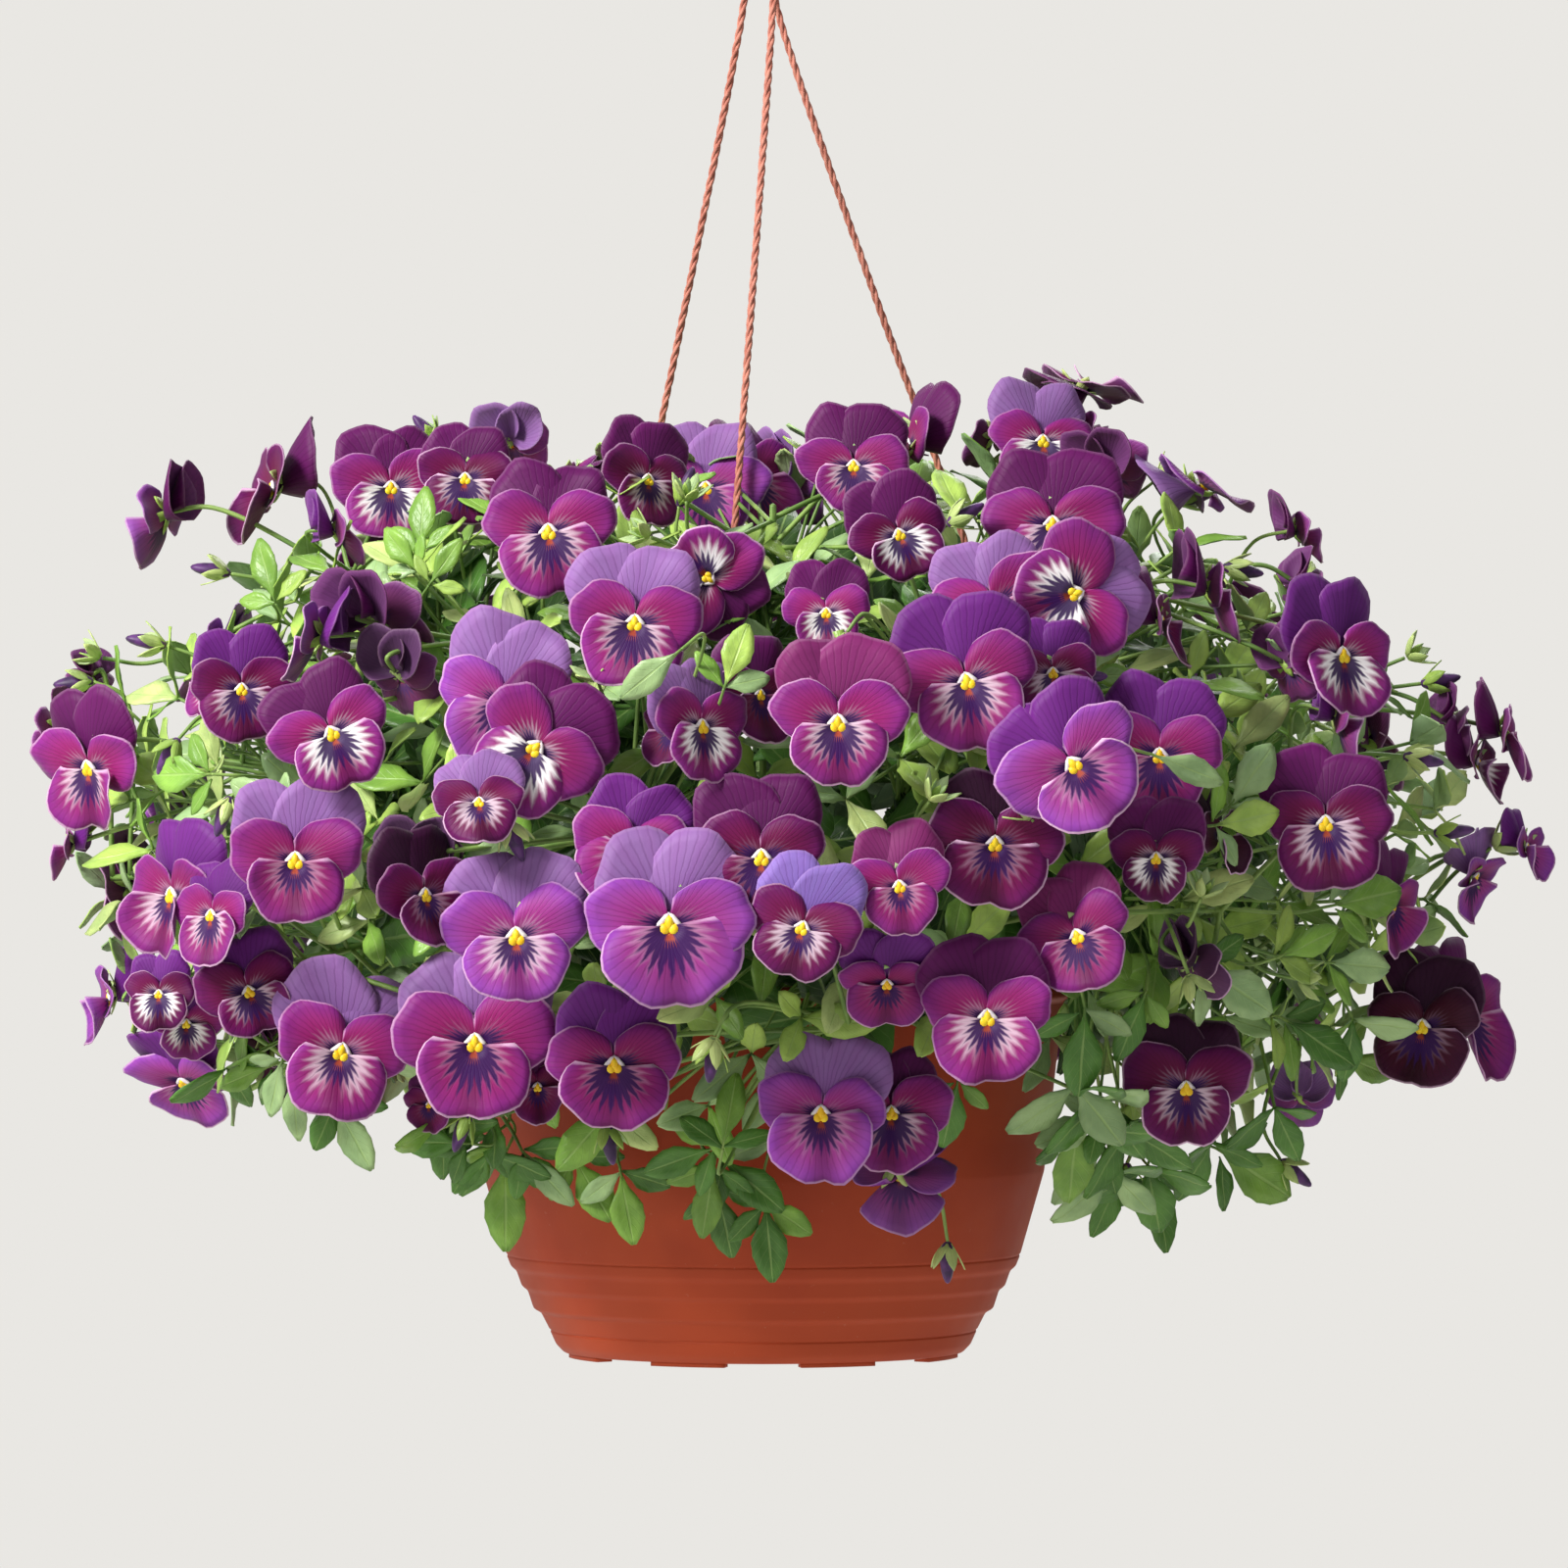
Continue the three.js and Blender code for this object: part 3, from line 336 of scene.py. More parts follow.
def rope_line(i):
    turn = math.radians(ROPE_TURNS[i])
    x, y = ROPE_TOPS[i]
    foot = Vector((math.cos(turn) * ROPE_CIRCLE, math.sin(turn) * ROPE_CIRCLE, 0))
    top = [Vector((x, y, COLLAR_TOP + ROPE_END)), Vector((x, y, COLLAR_TOP - COLLAR_THICK - ROPE_STRAIGHT))]
    heights = (RIM_TOP + ROPE_STRAIGHT, RIM_TOP - LUG_BELOW - LUG_THICK - ROPE_END)
    bottom = [foot + Vector((0, 0, height)) for height in heights]
    return smooth_line([*top, *[Vector(point) for point in ROPE_BOWS[i]], *bottom])


rope_finish, shader, nodes = mottled_finish("rope fibre", 0.7, (212, 140, 122), (180, 106, 90), 300.0)
add_bump(nodes, shader, nodes.use(grain, Scale=1800.0, Depth=1.0), 0.5, 0.0003)


# %% Lay the strands
LAY_LENGTH = 17
STRAND_RADIUS = 0.82
STRAND_STEP = 1.6
KNOT_LOOP, KNOT_WAVE, KNOT_ROPE = 2.2, 0.5, 1.5
KNOT_TURN, KNOT_TILT = 2.1, 0.9
KNOT_ABOVE, KNOT_BELOW = 3.33, 2.23


def strand(line, phase):
    """One strand's helix round a rope's line."""
    length = lengths_of(line)[-1]
    steps = int(length / STRAND_STEP)
    points = []
    for i in range(steps + 1):
        here = along(line, i / steps)
        ahead = (along(line, min(1, (i + 1) / steps)) - along(line, max(0, (i - 1) / steps))).normalized()
        side = ahead.cross(Vector((0, 1, 0))).normalized()
        turn = phase + 2 * math.pi * length * i / steps / LAY_LENGTH
        offset = side * math.cos(turn) + ahead.cross(side) * math.sin(turn)
        points.append(here + offset * (ROPE_RADIUS - STRAND_RADIUS))
    return points


def knot(bm, at):
    """A tight overhand knot: three fat turns of rope crossing each other."""
    loop = []
    for turn in (2 * math.pi * i / 16 for i in range(17)):
        across = Vector((math.cos(turn), math.sin(turn), 0)) * KNOT_LOOP
        loop.append(across + Vector((0, 0, math.sin(2 * turn) * KNOT_WAVE)))
    for number in range(3):
        tilt = Matrix.Rotation(number * KNOT_TURN, 3, "Z") @ Matrix.Rotation(KNOT_TILT, 3, "X")
        bm.from_mesh(tubes([([at + tilt @ point for point in loop], KNOT_ROPE, KNOT_ROPE)], 1))


for i, name in enumerate(ROPE_NAMES):
    line = rope_line(i)
    strands = [strand(line, phase * 2 * math.pi / 3) for phase in range(3)]
    bm = bmesh.new()
    bm.from_mesh(tubes([(points, STRAND_RADIUS, STRAND_RADIUS) for points in strands], 1))
    rope = new_piece(name + "_strands", bm, [rope_finish], [name])
    bm = bmesh.new()
    knot(bm, line[0] + Vector((0, 0, KNOT_ABOVE)))
    knot(bm, line[-1] - Vector((0, 0, KNOT_BELOW)))
    knots = new_piece(name + "_knots", bm, [rope_finish])
    length = lengths_of(line)[-1] * MM
    print(name, round(length, 3), "m")

# %% [markdown]
# ## The pot
#
# A thin-walled, injection-moulded pot in a matte terracotta colour. Its wall steps out over three ledges
# near the foot, and a fine line runs under and over them. A turned profile gives all of that at once, so
# the profile is drawn as an edge chain, its corners are rounded, and the spin operator turns it. The
# feet are short arcs under the base, which show as dark tabs along the bottom edge. Three lugs inside
# the rim, each with an eyelet, hold the ropes.

# %% Turn the pot
POT_BASE = -625
POT_SEGMENTS = 112
FLOOR_THICK = 3.4
POT_OUTSIDE = [
    (81.5, 0), (84.6, 3.2), (86.9, 8.3), (86.5, 8.9), (87.4, 9.6), (90.8, 16.2), (93.8, 17.8), (96.2, 25.2),
    (98.6, 27), (100.8, 33.2), (103, 35), (104.6, 39), (104.3, 39.7), (105, 40.4), (114.6, 74), (122.4, 143),
    (126, 145), (126, 151.4),
]
POT_INSIDE = [(121.5, 151.4), (120, 141), (112, 74), (101, 42), (80, FLOOR_THICK)]
ROUNDING = 0.9
FOOT_COUNT = 8
FOOT_HEIGHT, FOOT_SUNK = 1.6, 1
FOOT_RADIUS, FOOT_WIDE, FOOT_HALF_TURN = 77, 7, 0.2
LUG_RADIUS, LUG_WIDE, LUG_HALF_TURN = 120, 7, 0.07
EYELET_HOLE, EYELET_RADIUS, EYELET_SEGMENTS = 2.9, 7, 20


def rounded(profile):
    """The profile with each inner corner cut by a short three-point curve."""
    points = [Vector((radius, 0, height)) for radius, height in profile]
    result = [points[0]]
    for before, corner, after in zip(points, points[1:], points[2:]):
        cut = min(ROUNDING, 0.4 * (corner - before).length, 0.4 * (after - corner).length)
        start = corner + (before - corner).normalized() * cut
        end = corner + (after - corner).normalized() * cut
        result += [start, (start + end) / 4 + corner / 2, end]
    return result + [points[-1]]


def turned(bm, profile, segments, lift):
    """Spins a profile of points (radius, 0, height) into a closed solid round the Z axis."""
    chain = [bm.verts.new(point + Vector((0, 0, lift))) for point in profile]
    edges = [bm.edges.new(pair) for pair in zip(chain, chain[1:])]
    bmesh.ops.spin(
        bm, geom=chain + edges, axis=(0, 0, 1), cent=(0, 0, 0), angle=2 * math.pi, steps=segments,
        use_merge=True,
    )
    bmesh.ops.remove_doubles(bm, verts=bm.verts, dist=1e-3)
    bmesh.ops.recalc_face_normals(bm, faces=bm.faces)


def arc_block(radius, half_turn, wide, thick, turn, height):
    """A bar of nine joined blocks, wrapped round the axis."""
    bm = bmesh.new()
    bmesh.ops.create_cube(bm, size=1)
    long_edges = [edge for edge in bm.edges if abs(edge.verts[0].co.y - edge.verts[1].co.y) > 0.5]
    bmesh.ops.subdivide_edges(bm, edges=long_edges, cuts=8, use_grid_fill=True)
    for vert in bm.verts:
        angle = turn + 2 * half_turn * vert.co.y
        reach = radius + wide * vert.co.x
        vert.co = Vector((math.cos(angle) * reach, math.sin(angle) * reach, height + thick * vert.co.z))
    return bm


bm = bmesh.new()
profile = rounded([(0, 0), *POT_OUTSIDE, *POT_INSIDE, (0, FLOOR_THICK)])
turned(bm, profile, POT_SEGMENTS, POT_BASE + FOOT_HEIGHT)
foot_thick = FOOT_HEIGHT + FOOT_SUNK
for i in range(FOOT_COUNT):
    turn = 2 * math.pi * (i + 0.5) / FOOT_COUNT
    height = POT_BASE + foot_thick / 2
    add_part(bm, arc_block(FOOT_RADIUS, FOOT_HALF_TURN, FOOT_WIDE, foot_thick, turn, height))
half = LUG_THICK / 2
lug_height = RIM_TOP - LUG_BELOW - half
washer = [(EYELET_HOLE, -half), (EYELET_RADIUS, -half), (EYELET_RADIUS, half), (EYELET_HOLE, half)]
for degrees in ROPE_TURNS:
    turn = math.radians(degrees)
    add_part(bm, arc_block(LUG_RADIUS, LUG_HALF_TURN, LUG_WIDE, LUG_THICK, turn, lug_height))
    eyelet = bmesh.new()
    turned(eyelet, [Vector((r, 0, h)) for r, h in [*washer, washer[0]]], EYELET_SEGMENTS, 0)
    place = Vector((math.cos(turn) * ROPE_CIRCLE, math.sin(turn) * ROPE_CIRCLE, lug_height))
    bmesh.ops.translate(eyelet, verts=eyelet.verts, vec=place)
    add_part(bm, eyelet)

pot_finish, shader, nodes = new_finish("matte terracotta plastic", 0.5, Specular_IOR_Level=0.2)
pot_colour = nodes.use(mottle, Light=srgb(182, 74, 41), Dark=srgb(170, 64, 36), Scale=14.0)
dust = nodes.product(nodes.step(nodes.noise(420, 4), 0.68, 0.78), 0.22)
nodes.feed(shader.inputs["Base Color"], nodes.mix(dust, pot_colour, srgb(205, 150, 125)))
nodes.feed(shader.inputs["Roughness"], nodes.math("ADD", nodes.product(nodes.noise(60, 3), 0.2), 0.42))
add_bump(nodes, shader, nodes.use(grain, Scale=1500.0, Depth=1.0), 0.12, 0.0002)
pot = new_piece("pot_shell", bm, [pot_finish], ["hanging_pot"])
print("pot:", len(pot.data.polygons), "faces")

# %% [markdown]
# ## Hook and collar
#
# The photograph ends just below the hook, so it is a plain moulded one: a round bar bent into an open
# eye, on a disc that the three ropes are knotted through. The bar is a bevelled curve, which keeps its
# thickness through the bend, and the disc is turned.

# %% Make the hook
HOOK_INNER_RADIUS = 12
HOOK_ROD = 3
HOOK_TURN = (-42, 212, 28)
SHANK, SHANK_SUNK = 14, 2
COLLAR_RADIUS = 11
BOSS_FOOT, BOSS_TOP, BOSS_HEIGHT = 4, 3.2, 3

centreline = HOOK_INNER_RADIUS + HOOK_ROD
hook_points = [Vector((0, 0, COLLAR_TOP - SHANK_SUNK)), Vector((0, 0, COLLAR_TOP + SHANK))]
for degrees in range(HOOK_TURN[0], HOOK_TURN[1] + 1, HOOK_TURN[2]):
    turn = math.radians(degrees)
    height = math.sin(turn) * centreline - HOOK_INNER_RADIUS
    hook_points.append(Vector((math.cos(turn) * centreline, 0, height)))
bm = bmesh.new()
bm.from_mesh(tubes([(smooth_line(hook_points), HOOK_ROD, HOOK_ROD)], 4))
disc = bmesh.new()
rim = [
    (0, -COLLAR_THICK), (COLLAR_RADIUS, -COLLAR_THICK), (COLLAR_RADIUS, 0),
    (BOSS_FOOT, 0), (BOSS_TOP, BOSS_HEIGHT), (0, BOSS_HEIGHT),
]
turned(disc, rounded(rim), 48, COLLAR_TOP)
add_part(bm, disc)
hook = new_piece("hook_and_collar", bm, [pot_finish], ["hanger_hook"])
print("hook and collar:", len(hook.data.polygons), "faces")

# %% [markdown]
# ## Soil
#
# Dark peat compost. The CAD bed keeps its shape and gets a rough dark finish, and loose crumbs lie on
# it. Small lumps from the icosphere operator, each pushed out of round by noise, are enough.

# %% Finish the bed and scatter crumbs
def scatter(count, use):
    """A repeatable number between 0 and 1 for each count and use."""
    wave = math.sin(count * 12.9898 + use * 78.233) * 43758.5453
    return wave - math.floor(wave)


SOIL_TOP = -488
SOIL_CROWN = 3
SOIL_RADIUS = 118.6
CRUMBS = 420
CRUMB_TURN = 2.39996
CRUMB_SIZE, CRUMB_RANGE = 1.6, 3
CRUMB_EDGE = 6

soil_finish, shader, nodes = mottled_finish("peat compost", 0.95, (74, 54, 40), (38, 27, 20), 160.0)
add_bump(nodes, shader, nodes.use(grain, Scale=500.0, Depth=1.0), 0.9, 0.002)
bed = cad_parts["soil"]
bed.data.materials.clear()
bed.data.materials.append(soil_finish)

bm = bmesh.new()
for i in range(CRUMBS):
    turn, reach = i * CRUMB_TURN, math.sqrt((i + 0.5) / CRUMBS)
    size = CRUMB_SIZE + CRUMB_RANGE * scatter(i, 21) ** 2
    height = SOIL_TOP + SOIL_CROWN * (1 - 2 * reach) + size * 0.2
    ring = reach * (SOIL_RADIUS - CRUMB_EDGE)
    at = Vector((math.cos(turn) * ring, math.sin(turn) * ring, height))
    for vert in bmesh.ops.create_icosphere(bm, subdivisions=1, radius=size)["verts"]:
        vert.co = at + vert.co * (1 + 0.5 * noise.noise(vert.co * 0.7 + at))
new_piece("soil_crumbs", bm, [soil_finish])
print("crumbs:", CRUMBS)

# %% [markdown]
# ## Petal finish
#
# Every petal is mapped by its own place: u runs across it from -1 to 1, and v from the eye to the edge.
# The veins, the dark whiskers, the white zone behind them and the pale edge all follow u and v, so they
# are drawn from that attribute, which also holds the petal's kind: 0 back, 0.5 side and 1 lip. A second
# attribute holds the size of its blotch, its pale edge and how much white it has, and a third its own
# colour. So one finish serves all petals.

# %% Build the petal finish
VEINS, STREAKS, FLAMES = 12, 7, 4
# What a petal's own colour is multiplied with in its veins, throat, outer part, back edge and flames.
VEIN_TINT = (0.36, 0.14, 0.3, 1)
THROAT_TINT = (1.12, 0.36, 0.6, 1)
OUTER_TINT = (0.78, 1.0, 1.3, 1)
BACK_EDGE_TINT = (1.35, 1.45, 1.25, 1)
FLAME_TINT = (1.2, 1.7, 1.25, 1)
WHITE, FAINT_WHITE = srgb(255, 250, 255), srgb(222, 156, 212)
WHISKER_INK = srgb(52, 8, 84)
EMBER = srgb(184, 78, 20)
PALE_EDGE = srgb(232, 190, 226)
UNDERSIDE_LILAC = srgb(150, 105, 165)


def rays(nodes, across, count, wobble):
    """Lines that fan out from the eye: 1 on a line and 0 between two."""
    place = nodes.math("ADD", nodes.product(across, count), nodes.product(wobble, 0.7))
    return nodes.product(nodes.math("PINGPONG", place, 0.5), 2)


def multiplied(nodes, colour, tint):
    product = nodes.mix(1.0, colour, tint)
    product.node.blend_type = "MULTIPLY"
    return product


def vector_parts(nodes, attribute):
    """The three numbers of a vector attribute."""
    parts = nodes.add("ShaderNodeSeparateXYZ")
    nodes.feed(parts.inputs[0], nodes.add("ShaderNodeAttribute", attribute_name=attribute).outputs["Vector"])
    return parts.outputs


def own_colour(nodes, attribute):
    return nodes.add("ShaderNodeAttribute", attribute_name=attribute).outputs["Color"]


def petal_ground(nodes, own, out, lower, veins, flames):
    """The petal's own colour with its dark throat and veins, its paler flames and its edges."""
    deep = multiplied(nodes, own, VEIN_TINT)
    outer = nodes.product(nodes.step(out, 0.55, 1.0), lower)
    colour = nodes.mix(outer, own, multiplied(nodes, own, OUTER_TINT))
    throat = nodes.product(nodes.step(out, 0.85, 0.2), lower, 0.75)
    colour = nodes.mix(throat, colour, multiplied(nodes, own, THROAT_TINT))
    back_edge = nodes.product(nodes.step(out, 0.35, 1.0), nodes.math("SUBTRACT", 0.6, lower), clamp=True)
    colour = nodes.mix(back_edge, colour, multiplied(nodes, own, BACK_EDGE_TINT))
    colour = nodes.mix(nodes.product(flames, 0.28), colour, multiplied(nodes, own, FLAME_TINT))
    shade = nodes.product(veins, 0.5, nodes.math("SUBTRACT", 1.25, out))
    colour = nodes.mix(shade, colour, deep)
    return nodes.mix(nodes.product(nodes.step(out, 0.5, 0.05), 0.45), colour, deep), deep


def white_zone(nodes, out, off_middle, white, lower, is_lip, streaks):
    """White streaks on the lower petals, widest on the lip and bare along its middle."""
    lip_share = nodes.product(is_lip, nodes.math("ADD", 0.14, nodes.product(white, 0.2)))
    end = nodes.math("ADD", nodes.math("ADD", 0.09, lip_share), nodes.product(streaks, 0.22))
    zone = nodes.step(out, nodes.math("ADD", end, 0.24), nodes.math("SUBTRACT", end, 0.1))
    flanks = nodes.mix(is_lip, nodes.step(off_middle, 0.9, 0.45), nodes.step(off_middle, 0.05, 0.36))
    return nodes.product(nodes.product(zone, white, lower), flanks, clamp=True)


def whisker_zone(nodes, across, out, blotch, lower, is_lip, streaks):
    """The dark blotch by the eye, which ends in whiskers and is longest along the petal's middle."""
    fall = nodes.math("SUBTRACT", 1.7, is_lip)
    reach = nodes.math("SUBTRACT", 1.0, nodes.product(across, across, fall))
    end = nodes.product(blotch, reach, nodes.math("ADD", 0.58, nodes.product(streaks, 0.42)))
    zone = nodes.step(out, nodes.math("ADD", end, 0.05), nodes.math("SUBTRACT", end, 0.12))
    return nodes.product(zone, nodes.step(blotch, 0.0, 0.05), lower, 0.96)


def ember_zone(nodes, out, off_middle, is_lip, veins):
    """The small orange mark on the lip, just under the eye."""
    end = nodes.math("ADD", 0.08, nodes.product(veins, 0.1))
    zone = nodes.step(out, nodes.math("ADD", end, 0.05), end)
    return nodes.product(zone, is_lip, nodes.step(off_middle, 0.3, 0.12), 0.7)


def pale_edge(nodes, out, off_middle, wobble, edging):
    """A thin pale line along the end and the outer part of the sides."""
    end = nodes.step(nodes.math("ADD", out, nodes.product(wobble, 0.03)), 0.97, 1.0)
    sides = nodes.product(nodes.step(off_middle, 0.93, 0.99), nodes.step(out, 0.35, 0.75))
    return nodes.product(nodes.math("MAXIMUM", end, sides), edging)


def petal_finish(name, underside):
    material, shader, nodes = new_finish(
        name, 0.55, Sheen_Weight=0.06, Sheen_Roughness=0.4, Specular_IOR_Level=0.22
    )
    across, out, kind = vector_parts(nodes, "petal_place")
    blotch, edging, white = vector_parts(nodes, "petal_marks")
    own = own_colour(nodes, "petal_colour")
    lower, is_lip = nodes.step(kind, 0.1, 0.4), nodes.step(kind, 0.6, 0.9)
    off_middle = nodes.math("ABSOLUTE", across)
    wobble = nodes.noise(160, 3)
    veins = nodes.step(rays(nodes, across, VEINS, wobble), 0.6, 1.0)
    streaks = nodes.math("POWER", rays(nodes, across, STREAKS, wobble), 1.2)
    flames = nodes.product(rays(nodes, across, FLAMES, nodes.noise(60, 2)), nodes.step(out, 0.2, 0.7))

    colour, deep = petal_ground(nodes, own, out, lower, veins, flames)
    keel = nodes.product(nodes.step(off_middle, 0.26, 0.02), is_lip, 0.72)
    colour = nodes.mix(keel, colour, deep)
    zone = white_zone(nodes, out, off_middle, white, lower, is_lip, streaks)
    colour = nodes.mix(zone, colour, nodes.mix(white, FAINT_WHITE, WHITE))
    zone = whisker_zone(nodes, across, out, blotch, lower, is_lip, streaks)
    colour = nodes.mix(zone, colour, WHISKER_INK)
    colour = nodes.mix(ember_zone(nodes, out, off_middle, is_lip, veins), colour, EMBER)
    colour = nodes.mix(pale_edge(nodes, out, off_middle, wobble, edging), colour, PALE_EDGE)
    if underside:
        colour = nodes.mix(0.25, colour, UNDERSIDE_LILAC)
    nodes.feed(shader.inputs["Base Color"], colour)
    height = nodes.math("SUBTRACT", nodes.use(grain, Scale=700.0, Depth=0.5), nodes.product(veins, 0.5))
    add_bump(nodes, shader, height, 0.35, 0.0004)
    return material


petal_front = petal_finish("viola petal", False)
petal_back = petal_finish("viola petal underside", True)
eye_finish = mottled_finish("golden eye", 0.45, (255, 226, 40), (252, 198, 18), 300.0)[0]
eye_lip_finish = mottled_finish("orange lip of the eye", 0.45, (252, 186, 24), (238, 130, 14), 300.0)[0]
beard_finish = mottled_finish("white beard", 0.7, (250, 246, 240), (226, 216, 232), 500.0)[0]
print("petal finishes:", petal_front.name, "and", petal_back.name)

# %% [markdown]
# ## Leaf and stem finishes
#
# Viola leaves are matte to slightly glossy, with a pale midrib and side veins that rise toward the tip.
# Leaves are darker inside the plant and fresh yellow-green at its tips, so each leaf carries its own
# colour, and the veins are drawn from its own u and v. The darker greens are partly the older leaves' own
# colour and partly painted shade: the "shade" green stands for the shade deep in the mound. The underside
# is paler and greyer.

# %% Build the leaf finish
SIDE_VEINS, SIDE_VEIN_RISE = 7, 2.2
LEAF_LIGHT, LEAF_DARK = (1.2, 1.17, 1.04, 1), (0.8, 0.85, 0.74, 1)
VEIN_GREEN, UNDERSIDE_GREEN = srgb(168, 200, 118), srgb(158, 188, 150)


def leaf_finish(name, underside):
    material, shader, nodes = new_finish(name, 0.62 if underside else 0.38, Specular_IOR_Level=0.45)
    across, out, _ = vector_parts(nodes, "leaf_place")
    own = own_colour(nodes, "leaf_colour")
    side = nodes.math("ABSOLUTE", across)
    midrib = nodes.step(side, 0.1, 0.03)
    rise = nodes.math("SUBTRACT", nodes.product(out, SIDE_VEINS), nodes.product(side, SIDE_VEIN_RISE))
    side_vein = nodes.step(nodes.math("PINGPONG", rise, 0.5), 0.42, 0.5)
    vein = nodes.math("MAXIMUM", midrib, nodes.product(side_vein, 0.4))
    patchy = multiplied(nodes, own, nodes.use(mottle, Light=LEAF_LIGHT, Dark=LEAF_DARK, Scale=70.0))
    colour = nodes.mix(nodes.product(vein, 0.45), patchy, VEIN_GREEN)
    if underside:
        colour = nodes.mix(0.5, colour, UNDERSIDE_GREEN)
    nodes.feed(shader.inputs["Base Color"], colour)
    height = nodes.math("SUBTRACT", nodes.use(grain, Scale=500.0, Depth=0.6), nodes.product(vein, 0.7))
    add_bump(nodes, shader, height, 0.5, 0.0006)
    return material


leaf_top = leaf_finish("viola leaf", False)
leaf_under = leaf_finish("viola leaf underside", True)
stem_finish = mottled_finish("viola stem", 0.5, (146, 178, 92), (104, 140, 66), 60.0)[0]
bud_finish = mottled_finish("viola bud", 0.5, (92, 38, 116), (52, 16, 74), 220.0, Sheen_Weight=0.2)[0]
print("leaf finishes:", leaf_top.name, "and", leaf_under.name)

# "shade" is painted shade: a dark green for leaves deep in the mound, where only shade falls.
GREENS = {
    "new": srgb(192, 212, 140), "fresh": srgb(164, 196, 98), "mid": srgb(128, 172, 74),
    "deep": srgb(82, 130, 54), "grey": srgb(156, 188, 136), "shade": srgb(48, 82, 34),
}

# %% [markdown]
# ## Where the plants go
#
# The blooms sit on a flattened dome round the pot, the canopy. The front ones are read from the
# photograph one by one. The same few rules as in the CAD part turn a row of such readings into a place,
# and shift blooms that would run through each other. The far side is filled on a spiral. So each bloom
# stays where its CAD node is, and it belongs to the same shoot. A shoot is a stem that forks: one side
# carries leaves, and the other, the spur, carries blooms. All lengths are in millimetres.

# %% Canopy and placing rules
CANOPY = Vector((290, 255, 165))
CANOPY_HEIGHT = -412
HANG_RADIUS = 146
HANG_BELOW = 20
LAYER = 7
CLEARANCE = 2.6
NEIGHBOURHOOD = 75
NUDGE = 2
MOST_NUDGES = 40
GOLDEN_ANGLE = math.pi * (3 - math.sqrt(5))


def in_view(x, y, layer):
    """The point of the canopy's front that the camera shows at a pixel."""
    at = Vector((0, 0, 0))
    for _ in range(3):
        reach = (VIEW_DISTANCE + at.y) / VIEW_DISTANCE
        at.x = (PICTURE_CENTRE - AXIS_PIXEL) * MM_PER_PIXEL + (x - PICTURE_CENTRE) * MM_PER_PIXEL * reach
        at.z = VIEW_HEIGHT - (y - PICTURE_CENTRE) * MM_PER_PIXEL * reach
        rest = 1 - (at.x / CANOPY.x) ** 2 - ((at.z - CANOPY_HEIGHT) / CANOPY.z) ** 2
        at.y = -CANOPY.y * math.sqrt(max(0, rest)) - layer * LAYER
        before_pot = HANG_RADIUS**2 - at.x**2
        if at.z < RIM_TOP + HANG_BELOW and before_pot > 0:
            at.y = min(at.y, -math.sqrt(before_pot))
    return at


def on_canopy(toward, share):
    """The place at a share of the way from the canopy's middle to its surface."""
    return CANOPY * toward * share + Vector((0, 0, CANOPY_HEIGHT))


def facing(at, yaw, pitch, roll):
    """A face's matrix: x to the right, y up and z out of it, for someone in front of it."""
    turns = Matrix.Rotation(math.radians(yaw), 4, "Z") @ Matrix.Rotation(math.radians(90 - pitch), 4, "X")
    return Matrix.Translation(at) @ turns @ Matrix.Rotation(math.radians(-roll), 4, "Z")


def yaw_of(toward):
    """The yaw that looks along a direction."""
    return math.degrees(math.atan2(toward.x, -toward.y))


def direction(turn, rise):
    """A unit vector from its turn round the pot and its height."""
    level = math.sqrt(1 - rise * rise)
    return Vector((math.cos(turn) * level, math.sin(turn) * level, rise))


CLOCK = [Vector((math.cos(math.pi * i / 6), math.sin(math.pi * i / 6), 0)) for i in range(12)]


def crosses(one, other):
    """Whether a face has points on both sides of another, or too close to it."""
    wide, tall, middle = one["oval"]
    spots = [Vector((ray.x * wide * s, middle + ray.y * tall * s, 0)) for s in (1, 0.55) for ray in CLOCK]
    to_other = other["face"].inverted() @ one["face"]
    wide, tall, raised = other["oval"]
    sides = set()
    for spot in (to_other @ point for point in [*spots, Vector((0, middle, 0))]):
        if (spot.x / wide) ** 2 + ((spot.y - raised) / tall) ** 2 < 1:
            sides.add(0 if abs(spot.z) < CLEARANCE else math.copysign(1, spot.z))
    return 0 in sides or len(sides) == 2


placed = []


def settle(item, outward):
    """Moves a face outward until it clears all that are placed already."""
    at = item["face"].translation.copy()
    for _ in range(MOST_NUDGES):
        near = [other for other in placed if (at - other["at"]).length < NEIGHBOURHOOD]
        if not any(crosses(item, other) or crosses(other, item) for other in near):
            break
        at += outward * NUDGE
        item["face"].translation = at
    item["at"] = at.copy()
    placed.append(item)
    return item


# %% The shoots
SHOOTS = 24
HIGHEST, LOWEST = 0.9, -0.68
TRAILING_RISE = 0.05
FORK_LOW, FORK_HIGH = 0.8, 0.7
STEM_CIRCLE = 86
STEM_RISE = 4
SPREAD_RADIUS, SPREAD_HEIGHT = 130, 22
STALK_RADIUS = 1.7
SPUR_LENGTH, SPUR_SUNK, SPUR_GAP = 48, 8, 0.65

